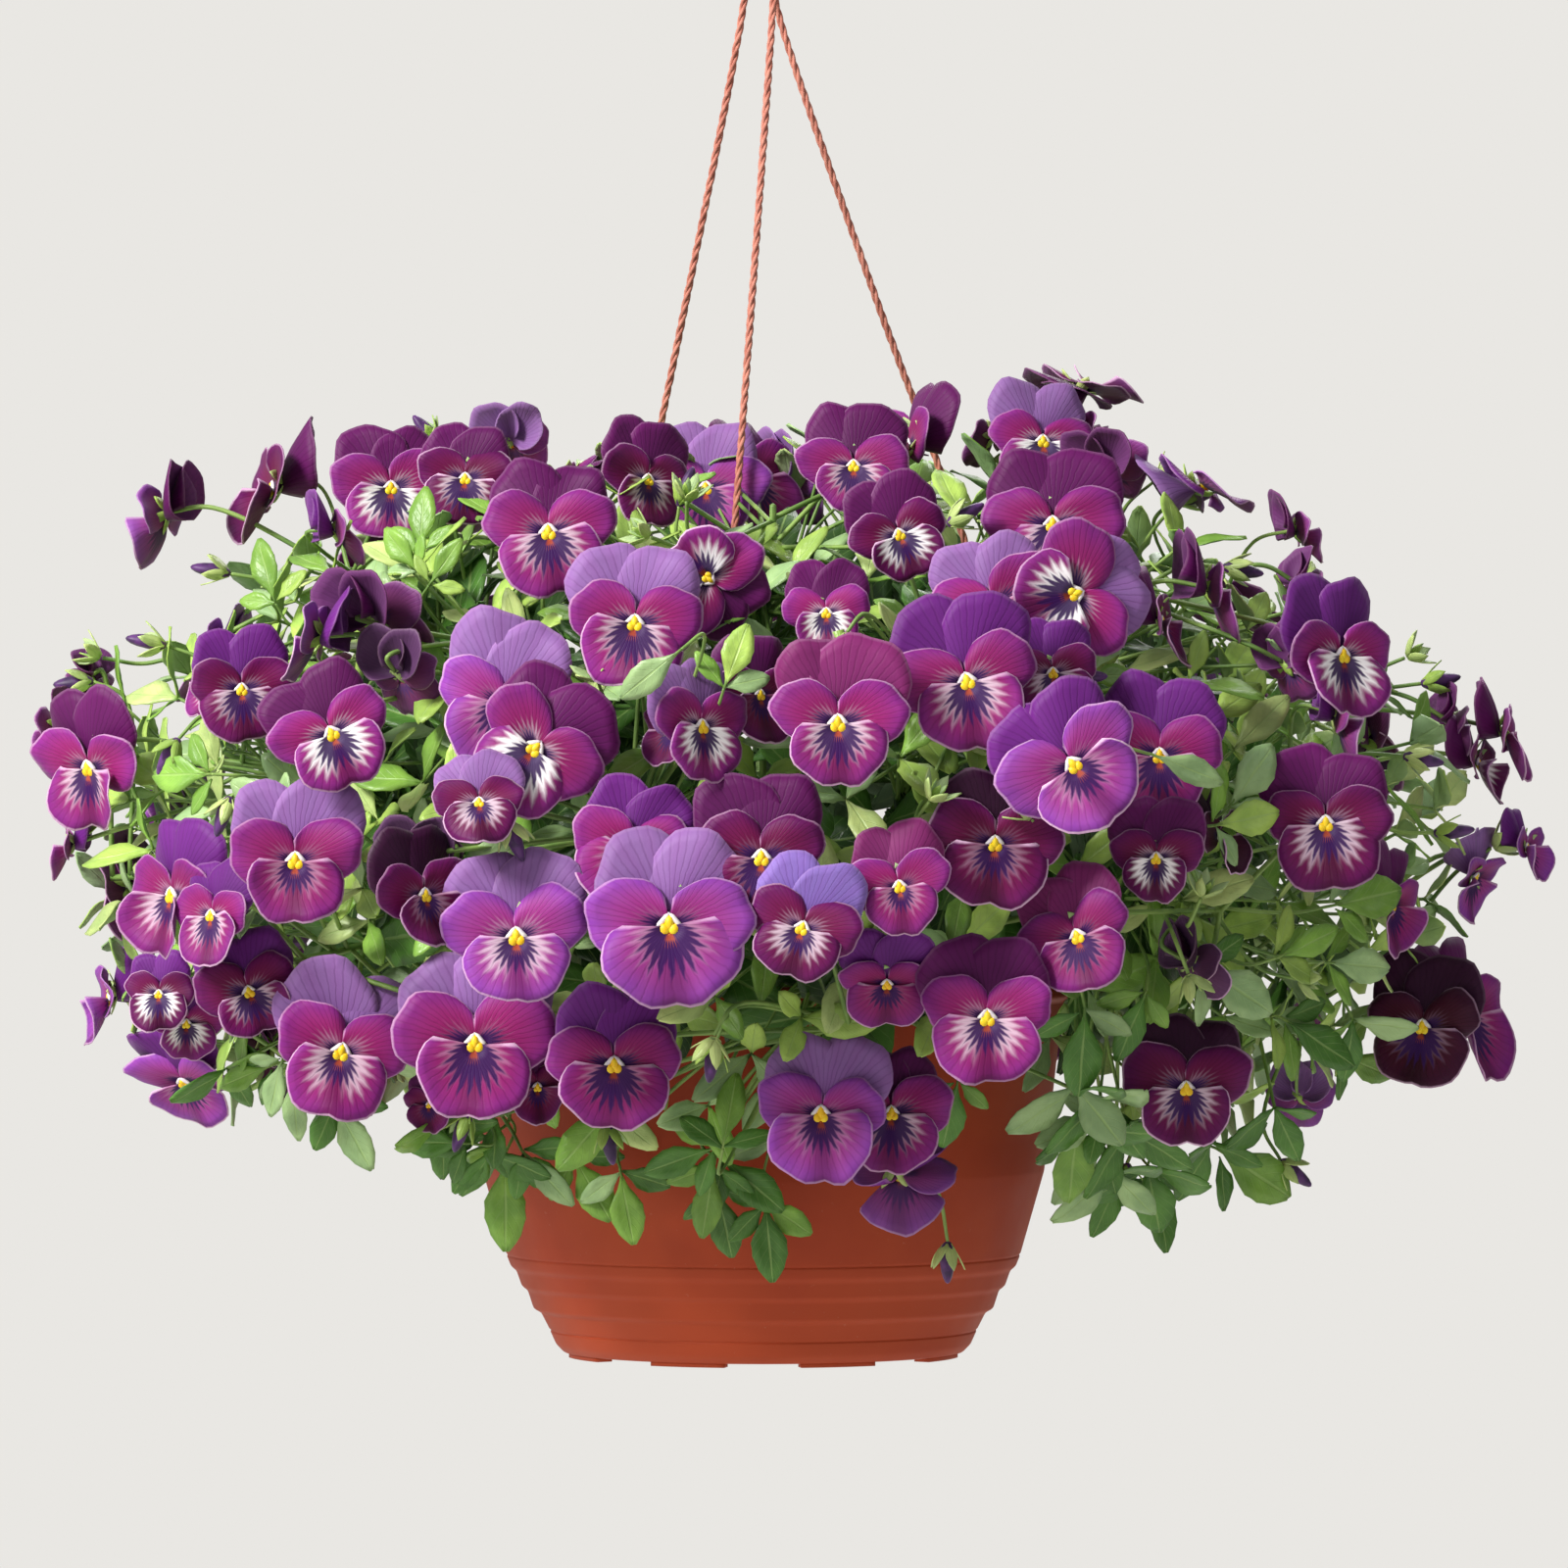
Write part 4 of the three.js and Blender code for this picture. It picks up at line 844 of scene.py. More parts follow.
shoots = []
for i in range(SHOOTS):
    rise = HIGHEST - (HIGHEST - LOWEST) * (i + 0.5) / SHOOTS
    turn = i * GOLDEN_ANGLE - math.pi / 2
    toward = direction(turn, rise)
    trailing = rise < TRAILING_RISE
    level = math.hypot(toward.x, toward.y)
    ground = SOIL_TOP + SOIL_CROWN * (1 - 2 * STEM_CIRCLE * level / SOIL_RADIUS)
    foot = Vector((toward.x * STEM_CIRCLE, toward.y * STEM_CIRCLE, ground))
    over = Vector((math.cos(turn) * SPREAD_RADIUS, math.sin(turn) * SPREAD_RADIUS, RIM_TOP + SPREAD_HEIGHT))
    fork = on_canopy(toward, FORK_LOW if trailing else FORK_HIGH)
    stem = [foot, Vector((foot.x, foot.y, RIM_TOP + STEM_RISE)), *([over] if trailing else []), fork]
    outward = (on_canopy(toward, 1) - fork).normalized()
    aside = Vector((-math.sin(turn), math.cos(turn), 0)) * (2 * STALK_RADIUS + SPUR_GAP)
    root = fork + aside - outward * SPUR_SUNK
    spur = [root, root + outward * SPUR_LENGTH]
    shoots.append({
        "toward": toward, "stem": smooth_line(stem), "fork": fork, "spur": spur, "tips": on_canopy(toward, 1),
        "blooms": [], "leaves": [], "buds": [], "calyces": [], "sprigs": [],
    })


def nearest_shoot(at):
    return min(shoots, key=lambda shoot: (shoot["tips"] - at).length)


print("shoots:", len(shoots))

# %% [markdown]
# ## Reading the blooms
#
# Each row of a bloom gives its eye's pixel, its height in pixels, its yaw, pitch and roll in degrees, its
# layer, its colours and its white. The colours are two letters. The first is the pair of back petals: L
# lavender, B blue-lavender, P purple, D dark purple, K nearly black, R dusky rose. The second is the
# lower three: M magenta, V mauve, C crimson, N dark crimson. The last number, from 0 to 3, says how much
# white lies round the eye.

# %% Front blooms
FRONT_BLOOMS = [
    # top left
    (400, 500, 130, 5, 5, 0, 1, "DM", 3), (475, 490, 112, 0, 5, 0, 0, "DC", 2),
    (522, 452, 95, 170, 10, 0, -2, "LM", 0), (560, 545, 150, 0, 5, -3, 2, "DM", 2),
    (661, 491, 112, 28, 5, 8, 0, "DC", 2), (278, 500, 140, -75, 5, 0, 0, "DC", 0),
    (345, 545, 90, 100, 10, 0, -1, "PM", 1), (168, 530, 110, -110, -5, 0, 0, "DV", 1),
    (385, 632, 120, 140, 20, 0, 0, "DC", 0), (325, 655, 110, -100, 10, 0, 1, "PV", 1),
    # top middle, behind the front rope
    (720, 500, 135, 0, 10, 0, -12, "LV", 1), (768, 490, 125, 50, 5, 0, -15, "DM", 1),
    (808, 490, 105, 120, 0, 0, -18, "LV", 0),
    # top right
    (871, 477, 118, 0, 8, 0, -1, "DM", 2), (926, 455, 120, -65, 5, 0, 0, "DM", 1),
    (918, 547, 112, 10, 0, -18, 2, "DC", 3), (1064, 452, 130, 15, 10, 5, 0, "LM", 3),
    (1012, 448, 80, -120, 10, 0, -3, "DC", 0), (1108, 440, 85, 100, 10, 0, -4, "DM", 0),
    (1128, 478, 95, 150, 20, 0, 0, "DM", 0), (1074, 537, 150, 0, 5, 0, 1, "DM", 2),
    (1095, 607, 140, 5, 0, 72, 3, "LM", 3), (1015, 618, 140, -5, 5, -20, 1, "LM", 1),
    (1325, 545, 85, 100, 10, 0, 0, "DM", 0), (1325, 600, 70, 120, -30, 0, 0, "DC", 0),
    (1235, 605, 110, 100, 0, 0, 0, "DM", 0), (1185, 635, 100, 80, 0, 0, -1, "DC", 0),
    # middle left
    (247, 705, 115, 10, 0, 0, 1, "PC", 2), (215, 700, 80, -60, 0, 0, -1, "DM", 2),
    (340, 750, 135, 5, 0, -28, 3, "DM", 3), (410, 690, 90, 150, 0, 0, -2, "KC", 0),
    (92, 785, 150, -40, -20, 0, 1, "DM", 2), (58, 745, 80, -110, -10, 0, 0, "DM", 0),
    (95, 695, 65, -140, -40, 0, -1, "DC", 0), (72, 865, 80, -85, 0, 0, -1, "PM", 1),
    (176, 915, 145, -50, -5, 0, 1, "PM", 2), (217, 935, 110, -38, 0, 0, 2, "PM", 2),
    (302, 880, 155, 0, 0, 0, 3, "LM", 1), (490, 820, 100, 0, 20, 0, 3, "LC", 2),
    (512, 718, 160, -8, 0, 12, 0, "LV", 1), (545, 765, 150, 0, 0, 42, 2, "DM", 3),
    (436, 914, 125, 42, 0, 0, 2, "KC", 1), (430, 875, 90, 170, 20, 0, 1, "KN", 0),
    # centre
    (648, 638, 148, 0, 5, 3, 2, "LM", 2), (722, 590, 115, 5, 0, 130, 1, "DM", 3),
    (843, 627, 100, 0, 5, 0, 2, "DM", 3), (716, 743, 130, 38, 0, 0, 1, "LM", 3),
    (775, 710, 105, 40, 0, 0, -1, "DC", 0), (685, 745, 85, -50, 0, 0, -1, "DC", 0),
    (855, 740, 155, 0, 0, 0, 3, "RM", 2), (987, 697, 150, 0, 0, -14, 3, "PM", 2),
    (643, 867, 135, 0, 0, 18, 1, "PM", 1), (777, 877, 150, 0, 0, 0, 1, "DC", 1),
    (818, 948, 125, -5, 0, 18, 2, "BC", 2), (683, 945, 180, 0, 0, 0, 3, "LV", 1),
    (528, 957, 160, 0, 0, -4, 3, "LV", 2), (918, 906, 115, 0, 0, -10, 2, "RM", 1),
    # middle right
    (1074, 688, 100, 12, 0, 0, 2, "PC", 2), (1015, 862, 140, 8, -15, 0, 1, "KC", 1),
    (1095, 782, 150, 0, 0, -38, 3, "PV", 1), (1183, 773, 140, 0, 0, 0, 1, "PM", 1),
    # The bloom at (1245, 855) stands in shadow behind its neighbours; its nearly black and dark crimson
    # colours are painted shade.
    (1180, 877, 110, -20, -5, 0, 2, "DC", 3), (1245, 855, 90, 60, 0, 0, -1, "KN", 0),
    (1352, 842, 145, 0, 0, 0, 3, "DC", 2), (1362, 672, 150, 38, 0, 0, 1, "PM", 3),
    (1365, 735, 110, 90, -10, 0, 0, "PM", 0), (1315, 680, 80, 140, 0, 0, -1, "DM", 0),
    (1480, 740, 75, 110, -20, 0, 0, "DC", 0), (1508, 780, 100, 75, 0, 0, 0, "DC", 3),
    (1535, 750, 110, 82, 0, 0, -1, "DM", 0), (1558, 865, 78, 65, 0, 0, 0, "PV", 0),
    (1505, 895, 95, 60, -35, 0, 0, "LV", 0), (1420, 925, 110, 60, -20, 0, 0, "DM", 0),
    # lower left
    (163, 1015, 82, -10, 0, 0, 2, "PC", 3), (112, 1020, 115, -80, -5, 0, 0, "PV", 0),
    (190, 1045, 90, 20, -20, 0, 0, "PM", 3), (255, 1013, 112, 5, 0, -15, 2, "PC", 2),
    (188, 1105, 130, -30, -50, 0, 1, "PV", 1), (348, 1075, 160, 8, 0, 14, 2, "LM", 2),
    (485, 1066, 165, 0, 0, 0, 2, "LM", 1), (438, 1128, 60, -20, -10, 0, 0, "DC", 0),
    (548, 1110, 85, 20, -10, 0, 0, "DC", 0),
    # lower middle and right
    (627, 1088, 150, 0, -5, 0, 2, "PM", 1), (838, 1138, 150, -8, 0, 0, 3, "LV", 1),
    (909, 1137, 130, 15, 0, 0, 2, "DM", 2), (920, 1200, 115, 170, -50, 0, 2, "PV", 0),
    (905, 1005, 100, 0, -30, 0, 0, "PM", 0), (1007, 1040, 150, 0, 0, 0, 3, "DM", 2),
    (1100, 957, 135, -15, 0, -20, 2, "RM", 1), (1218, 985, 90, 120, 0, 0, -1, "KN", 0),
    (1210, 1112, 135, 0, 0, 0, 2, "KC", 2), (1327, 1120, 80, 175, 0, 0, -3, "LV", 0),
    (1448, 1048, 140, -20, 0, 0, 1, "KN", 1), (1497, 1038, 150, 60, 0, 0, 0, "DM", 1),
]
# Each pair gives a far bloom's colours and its white.
BACK_COLOURS = (("LM", 2), ("DM", 3), ("PC", 2), ("DC", 1), ("PV", 1), ("KC", 1), ("LV", 1), ("DM", 1))
BACK_BLOOMS = 36
# Where the far blooms stand: the height of the first, how far down they go, and how wide they spread.
BACK_TOP, BACK_DROP, BACK_SLOPE = 0.98, 1.6, 1.25
CROWN_RISE, CROWN_SPREAD, SIDE_SPREAD = 0.75, 100, 82
GOLDEN_SHARE, FIRST_SHARE = 0.618034, 0.3
print("front blooms:", len(FRONT_BLOOMS), "and behind:", BACK_BLOOMS)

# %% [markdown]
# The leaves and buds that show between the blooms are read in the same way: the pixel, a leaf's length
# in pixels, the way the tip points in degrees clockwise from up, and the layer.

# %% Front leaves and buds
FRONT_LEAVES = [
    (430, 528, 75, 0, 2), (407, 560, 60, -40, 2), (455, 572, 60, 35, 2), (270, 580, 75, -20, 0),
    (180, 790, 80, -90, 1), (260, 815, 75, -60, 1), (495, 882, 85, 60, 1), (662, 690, 80, 232, 4),
    (752, 668, 70, 20, 1), (1130, 655, 80, 30, 1), (1215, 785, 85, 110, 4), (1280, 790, 85, 40, 1),
    (1275, 835, 80, 80, 0), (1268, 1012, 100, 120, 1), (1340, 962, 85, 70, 1), (1400, 915, 100, 80, 1),
    (1390, 985, 85, 95, 1), (1350, 1065, 105, 120, 1), (1400, 1090, 85, 110, 0), (1155, 1050, 80, 200, 0),
    (1105, 1078, 95, 180, 1), (970, 1140, 75, 190, 0), (1090, 1155, 75, 250, 1), (1100, 1200, 85, 220, 1),
    (1130, 1232, 80, 200, 1), (1185, 1240, 90, 170, 1), (1285, 1200, 115, 120, 1), (515, 1230, 105, 180, 1),
    (560, 1205, 80, 140, 1), (605, 1215, 80, 150, 0), (470, 1160, 80, 240, 0), (440, 1165, 75, 270, 1),
    (480, 1190, 75, 215, 1), (640, 1235, 80, 170, 1), (690, 1185, 80, 250, 1), (770, 1210, 85, 130, 1),
    (722, 1228, 80, 190, 1), (740, 1252, 80, 170, 0), (745, 1130, 80, 10, 1), (785, 1270, 85, 175, 1),
    (245, 1100, 75, 250, 0), (280, 1112, 70, 200, 1), (300, 1132, 75, 180, 1), (360, 1160, 85, 150, 0),
]
FRONT_BUDS = [
    (215, 582, -80, 0), (150, 655, -80, 0), (75, 697, -95, 0), (172, 772, -150, 1), (228, 833, 200, 1),
    (1218, 507, 80, 0), (1268, 582, 100, 0), (1470, 694, 80, 0), (1452, 775, 100, 0), (1483, 848, 85, 0),
    (1322, 1197, 130, 0), (967, 1288, 180, -3), (471, 1155, 200, 1), (526, 858, 160, 3), (1150, 1207, 180, 1),
    (727, 1083, 190, 2), (985, 525, 60, 1), (1108, 690, 90, 1), (435, 440, -40, 1), (700, 497, 20, 0),
    (855, 650, 170, 1), (622, 1167, 170, 2),
]
# Calyces without petals: the pixel, the way they open and the layer.
FRONT_CALYCES = [
    (1228, 910, 20, 2), (1215, 1000, 160, 2), (952, 812, 30, 2), (1048, 831, -40, 2), (863, 652, 190, 3),
    (437, 450, -30, 1), (702, 505, 10, 1), (658, 545, -60, 1), (1185, 487, 60, 0), (608, 690, -20, 1),
    (1330, 1000, 100, 1), (1440, 668, 60, 0), (98, 668, -60, 0), (1528, 862, 60, 0), (727, 1064, 190, 3),
]
print("leaves:", len(FRONT_LEAVES), "buds:", len(FRONT_BUDS), "calyces:", len(FRONT_CALYCES))


# %% Place them
LAYER_GAP = 1.2
TURNED_FROM, TURNED_RANGE = 25, 40
LEAF_YAW, LEAF_PITCH = 0.12, 10
CALYX_PITCH = -25
LONE_LAYER = 2


def bloom_item(face, height, colours, white, turned_by):
    oval = (0.45 * height, 0.5 * height, 0.07 * height)
    return {
        "kind": "blooms", "face": face, "height": height, "colours": colours, "white": white / 3,
        "turned": turned_by, "oval": oval,
    }


items = []
for x, y, pixels, yaw, pitch, roll, layer, colours, white in FRONT_BLOOMS:
    face = facing(in_view(x, y, layer), yaw, pitch, roll)
    turned_by = min(1, max(0, abs(yaw) - TURNED_FROM) / TURNED_RANGE)
    items.append((layer, bloom_item(face, pixels * MM_PER_PIXEL, colours, white, turned_by)))
for i, (x, y, pixels, turn, layer) in enumerate(FRONT_LEAVES):
    at, length = in_view(x, y, layer), pixels * MM_PER_PIXEL
    face = facing(at, at.x * LEAF_YAW, LEAF_PITCH * (1 - 2 * scatter(i, 1)), turn)
    oval = (0.26 * length, 0.5 * length, 0)
    lone = layer > LONE_LAYER
    items.append((layer, {"kind": "leaves", "face": face, "length": length, "lone": lone, "oval": oval}))
for layer, item in sorted(items, key=lambda pair: pair[0]):
    settle(item, Vector((0, -1, 0)))
    nearest_shoot(item["at"])[item["kind"]].append(item)
    item["face"].translation.y -= LAYER_GAP * max(0, layer)
for x, y, turn, layer in FRONT_BUDS:
    face = facing(in_view(x, y, layer), 0, 0, turn)
    nearest_shoot(face.translation)["buds"].append(face)
for x, y, turn, layer in FRONT_CALYCES:
    face = facing(in_view(x, y, layer), 0, CALYX_PITCH, turn)
    nearest_shoot(face.translation)["calyces"].append(face)
for i in range(BACK_BLOOMS):
    rise = BACK_TOP - BACK_DROP * ((i + 0.5) / BACK_BLOOMS) ** BACK_SLOPE
    spread = CROWN_SPREAD if rise > CROWN_RISE else SIDE_SPREAD
    share = (i * GOLDEN_SHARE + FIRST_SHARE) % 1
    toward = direction(math.radians(90 + spread * (2 * share - 1)), rise)
    yaw = yaw_of(toward) + 30 * (scatter(i, 2) - 0.5)
    pitch, roll = 62 * rise + 20 * (scatter(i, 3) - 0.5), 50 * (scatter(i, 4) - 0.5)
    face = facing(on_canopy(toward, 0.93), yaw, pitch, roll)
    colours, white = BACK_COLOURS[i % len(BACK_COLOURS)]
    item = settle(bloom_item(face, 47 + 9 * scatter(i, 5), colours, white, 0.3), toward)
    nearest_shoot(item["at"])["blooms"].append(item)
print("blooms:", sum(len(shoot["blooms"]) for shoot in shoots))

# %% [markdown]
# ## Growing a petal and a leaf
#
# Petals and leaves are thin curved sheets. A small grid from the grid operator is laid over the shape:
# a fan that opens from the eye for a petal, and an oval with scalloped edges for a leaf. Each point
# keeps its u and v as an attribute, which the finishes read. The Solidify modifier then gives the
# sheets their thickness, and its material offset gives the underside its own finish.

# %% Sheets from grids
PETAL, LEAF, EYE, BEARD, STEM, BUD, EYE_LIP = 0, 2, 4, 5, 6, 7, 8
PLANT_FINISHES = [
    petal_front, petal_back, leaf_top, leaf_under, eye_finish, beard_finish, stem_finish, bud_finish,
    eye_lip_finish,
]
SHEET_THICK = 0.5


def new_bmesh():
    """A bmesh with the attributes that the petal and leaf finishes read."""
    bm = bmesh.new()
    for name in ("petal_place", "petal_marks", "leaf_place"):
        bm.verts.layers.float_vector.new(name)
    for name in ("petal_colour", "leaf_colour"):
        bm.verts.layers.float_color.new(name)
    return bm


def sheet(bm, columns, rows, finish, shape, attributes):
    """Lays a grid over shape(u, v). attributes gives a function of u and v for each vertex attribute."""
    grid = bmesh.ops.create_grid(bm, x_segments=columns, y_segments=rows, size=0.5)["verts"]
    layers = {**dict(bm.verts.layers.float_vector.items()), **dict(bm.verts.layers.float_color.items())}
    for vert in grid:
        u, v = 2 * vert.co.x, vert.co.y + 0.5
        for name, value in attributes.items():
            vert[layers[name]] = value(u, v)
        vert.co = shape(u, v)
    for face in {face for vert in grid for face in vert.link_faces}:
        face.material_index = finish


def thickened(bm):
    """The same sheets with their thickness, as a new bmesh."""
    mesh = bpy.data.meshes.new("sheets")
    bm.to_mesh(mesh)
    bm.free()
    for finish in PLANT_FINISHES:
        mesh.materials.append(finish)
    obj = bpy.data.objects.new("sheets", mesh)
    scene.collection.objects.link(obj)
    solidify = obj.modifiers.new("thickness", "SOLIDIFY")
    solidify.thickness = SHEET_THICK
    solidify.offset = -1
    solidify.material_offset = 1
    solidify.use_even_offset = False
    thick = bmesh.new()
    thick.from_mesh(final_mesh(obj))
    return thick


# %% A bloom's five petals
# Each petal: way out from the eye in degrees clockwise from up, length, half opening of the fan in
# degrees, how far it is stretched sideways, and its depth, all for a bloom one unit high.
PETALS = [
    ("back", 29, 0.57, 80, 0.88, -0.03), ("back", -29, 0.57, 80, 0.88, -0.05),
    ("side", 69, 0.48, 74, 0.87, -0.01), ("side", -69, 0.48, 74, 0.87, -0.02),
    ("lip", 180, 0.42, 97, 0.97, 0.022),
]
PETAL_COLUMNS, PETAL_ROWS = 22, 6
EYE_GAP = 0.035
ARCH = {"back": -0.015, "side": 0.02, "lip": 0.025}
FOLD = {"back": 0.0, "side": 0.02, "lip": 0.015}
RUFFLE_SIDE = {"back": -1, "side": 0, "lip": 1}
ROUNDNESS = {"back": 0.68, "side": 0.78}
LIP_FALL, LIP_NOTCH, NOTCH_WIDE = 0.42, 0.08, 0.16
FRILL, LIP_FRILL = 0.02, 1.6
RIPPLE, FINE_RIPPLE = 0.026, 0.016
SWING, LEAN, CURL = 14, 0.09, 0.1


def outline(kind, angle, half):
    """How far a petal reaches at an angle from its middle, as a share of its length."""
    if kind == "lip":
        notch = LIP_NOTCH * math.exp(-((angle / NOTCH_WIDE) ** 2))
        return (1 - LIP_FALL * abs(angle / half) ** 3.5) * (1 - notch)
    return max(math.cos(angle), 0.02) ** ROUNDNESS[kind]


def petal_shape(face, height, petal, seed, stretch, flare):
    """The shape of one petal as a function of u and v, a little different for each seed."""
    kind, way, length, opening, wide, depth = petal
    turn, half = math.radians(way + SWING * (scatter(seed, 10) - 0.5)), math.radians(opening)
    length *= height * stretch * (0.95 + 0.1 * scatter(seed, 11))
    wide *= 0.9 + 0.18 * scatter(seed, 9)
    wave, ripples = 6.28 * scatter(seed, 12), 1.6 + 2.2 * scatter(seed, 13)
    lean = (scatter(seed, 14) - 0.5) * LEAN
    frill = FRILL * (1 + scatter(seed, 19) ** 2) * (LIP_FRILL if kind == "lip" else 1)
    curl = CURL * scatter(seed, 20) ** 3

    def shape(u, v):
        angle = u * half
        reach = length * outline(kind, angle, half)
        reach *= 1 + frill * math.sin(3.1 * u + wave) * abs(u) + RIPPLE * math.sin(8.5 * u + 2 * wave)
        reach *= 1 + FINE_RIPPLE * math.sin(17 * u + wave)
        distance = EYE_GAP * height + (reach - EYE_GAP * height) * v
        x, y = math.sin(angle) * distance * wide, math.cos(angle) * distance
        ruffle = v**2 * math.sin(ripples * u * 2 + wave) + 0.25 * v**6 * math.sin(13 * u + wave)
        bend = ARCH[kind] * height * math.sin(2.4 * v)
        bend += (flare + frill * RUFFLE_SIDE[kind]) * height * v * v
        bend += lean * x * v - curl * height * abs(u) * v**4
        fold = FOLD[kind] * height * v * (0.4 - u * u)
        turned_x = math.cos(turn) * x + math.sin(turn) * y
        turned_y = math.cos(turn) * y - math.sin(turn) * x
        return face @ Vector((turned_x, turned_y, depth * height + frill * height * ruffle + bend + fold))

    return shape


# %% A bloom
BACK_PETALS = {
    "L": srgb(134, 90, 158), "B": srgb(128, 96, 180), "P": srgb(100, 30, 122), "D": srgb(88, 14, 84),
    "K": srgb(48, 6, 44), "R": srgb(118, 34, 98),
}
LOWER_PETALS = {
    "M": srgb(144, 36, 116), "V": srgb(152, 60, 148), "C": srgb(106, 12, 78), "N": srgb(66, 6, 40),
}
# What the petal finish reads for each kind of petal.
KIND_VALUE = {"back": 0.0, "side": 0.5, "lip": 1.0}
BLOTCH = {"back": 0.0, "side": 0.34, "lip": 0.66}
WHITE_SHARE = {"back": 0, "side": 0.55, "lip": 1}
EDGING = {"back": 0.12, "side": 0.5, "lip": 0.9}
# How far a turned bloom's petals flare, and how far all lean back.
FLARES = {"back": -0.13, "side": 0.06, "lip": 0.16}
LEAN_BACK = 0.01
DROOP = 12


def bloom(bm, item, seed):
    """Five petals. A turned bloom flares: its back petals lean back, and its lip stands forward."""
    face, height = item["face"], item["height"]
    back, lower = BACK_PETALS[item["colours"][0]], LOWER_PETALS[item["colours"][1]]
    stretches = {
        "back": 0.95 + 0.1 * scatter(seed, 21), "side": 0.88 + 0.18 * scatter(seed, 22),
        "lip": 0.94 + 0.14 * scatter(seed, 23),
    }
    droop = DROOP * (scatter(seed, 24) - 0.45)
    for number, petal in enumerate(PETALS):
        kind = petal[0]
        if kind == "side":
            petal = (kind, petal[1] + math.copysign(droop, petal[1]), *petal[2:])
        tone = 0.88 + 0.24 * scatter(seed * 5 + number, 16)
        own = [channel * tone for channel in (back if kind == "back" else lower)[:3]]
        blotch = BLOTCH[kind] * (0.8 + 0.4 * scatter(seed, 17))
        white = (0.1 + 0.9 * item["white"] ** 1.3) * WHITE_SHARE[kind]
        edging = EDGING[kind] * (0.5 + 0.6 * scatter(seed, 18))
        flare = FLARES[kind] * item["turned"] - LEAN_BACK
        attributes = {
            "petal_place": lambda u, v: (u, v, KIND_VALUE[kind]),
            "petal_marks": lambda u, v: (blotch, edging, white),
            "petal_colour": lambda u, v: (*own, 1),
        }
        shape = petal_shape(face, height, petal, seed * 5 + number, stretches[kind], flare)
        sheet(bm, PETAL_COLUMNS, PETAL_ROWS, PETAL, shape, attributes)


# %% A bloom's eye, beard and sepals, and a bud
TUFT_TURN = 0.72
BUD_RADIUS, BUD_HALF_LENGTH = 3.6, 8.5
BUD_SEPAL, BUD_FOOT = 13, 8


def blob(bm, place, size, finish, segments=6):
    """A small rounded lump, squashed to size along the axes of place."""
    made = bmesh.ops.create_uvsphere(bm, u_segments=segments, v_segments=4, radius=1)["verts"]
    for vert in made:
        vert.co = place @ Vector((vert.co.x * size[0], vert.co.y * size[1], vert.co.z * size[2]))
    for face in {face for vert in made for face in vert.link_faces}:
        face.material_index = finish


def eye(bm, face, height):
    """A yellow boss with an orange lower lip, under two white tufts that lean together like a roof."""
    def part(x, y, z, size, finish, lean=0.0, segments=8):
        place = face @ Matrix.Translation(Vector((x, y, z)) * height) @ Matrix.Rotation(lean, 4, "Z")
        blob(bm, place, [half * height for half in size], finish, segments)

    for side in (-1, 1):
        part(0.024 * side, -0.016, 0.012, (0.032, 0.036, 0.02), EYE, -0.5 * side)
        part(0.033 * side, 0.03, 0.006, (0.017, 0.06, 0.016), BEARD, TUFT_TURN * side, 6)
    part(0, 0.016, 0.012, (0.026, 0.046, 0.02), EYE)
    part(0, -0.044, 0.01, (0.034, 0.014, 0.014), EYE_LIP, segments=6)


def sepals(bm, face, size, seed, spread, count=5):
    """Narrow pointed sepals round a place, opening along its y axis away from the stalk."""
    colour = GREENS["fresh" if seed % 3 else "new"]
    attributes = {"leaf_place": lambda u, v: (u, v, 0), "leaf_colour": lambda u, v: colour}
    for i in range(count):
        turn = Matrix.Rotation(2 * math.pi * (i + scatter(seed, 31)) / count, 4, "Y")
        lean = spread * (0.8 + 0.4 * scatter(seed + i, 32))

        def shape(u, v):
            half = 0.19 * size * math.sin(math.pi * min(1, v * 0.85 + 0.15)) ** 0.9
            out = 0.1 * size + math.sin(lean) * v * size * 0.9
            return face @ turn @ Vector((u * half, v * size * math.cos(lean), out - 0.1 * size * v * v))

        sheet(bm, 2, 4, LEAF, shape, attributes)


def bud(bm, sheets, face, seed):
    """A furled bud: a pointed dark body with a twist, held by spread sepals."""
    made = bmesh.ops.create_uvsphere(bm, u_segments=10, v_segments=8, radius=1)["verts"]
    for vert in made:
        share = (vert.co.z + 1) / 2
        twist = 3 * math.atan2(vert.co.y, vert.co.x) + 3 * share
        wide = BUD_RADIUS * (1 - 0.35 * share) * (1 + 0.12 * math.sin(twist))
        vert.co = face @ Vector((vert.co.x * wide, vert.co.z * BUD_HALF_LENGTH, vert.co.y * wide))
    for side in {side for vert in made for side in vert.link_faces}:
        side.material_index = BUD
    sepals(sheets, face @ Matrix.Translation((0, 0.5 - BUD_FOOT, 0)), BUD_SEPAL, seed, 0.7)


# %% A leaf
SAG = 0.14


def leaf_colour(seed, mix):
    """A green picked from a mix of names, with a little variation."""
    colour = GREENS[mix[int(scatter(seed, 41) * len(mix)) % len(mix)]]
    tone = 0.85 + 0.3 * scatter(seed, 42)
    return (*[channel * tone for channel in colour[:3]], 1)


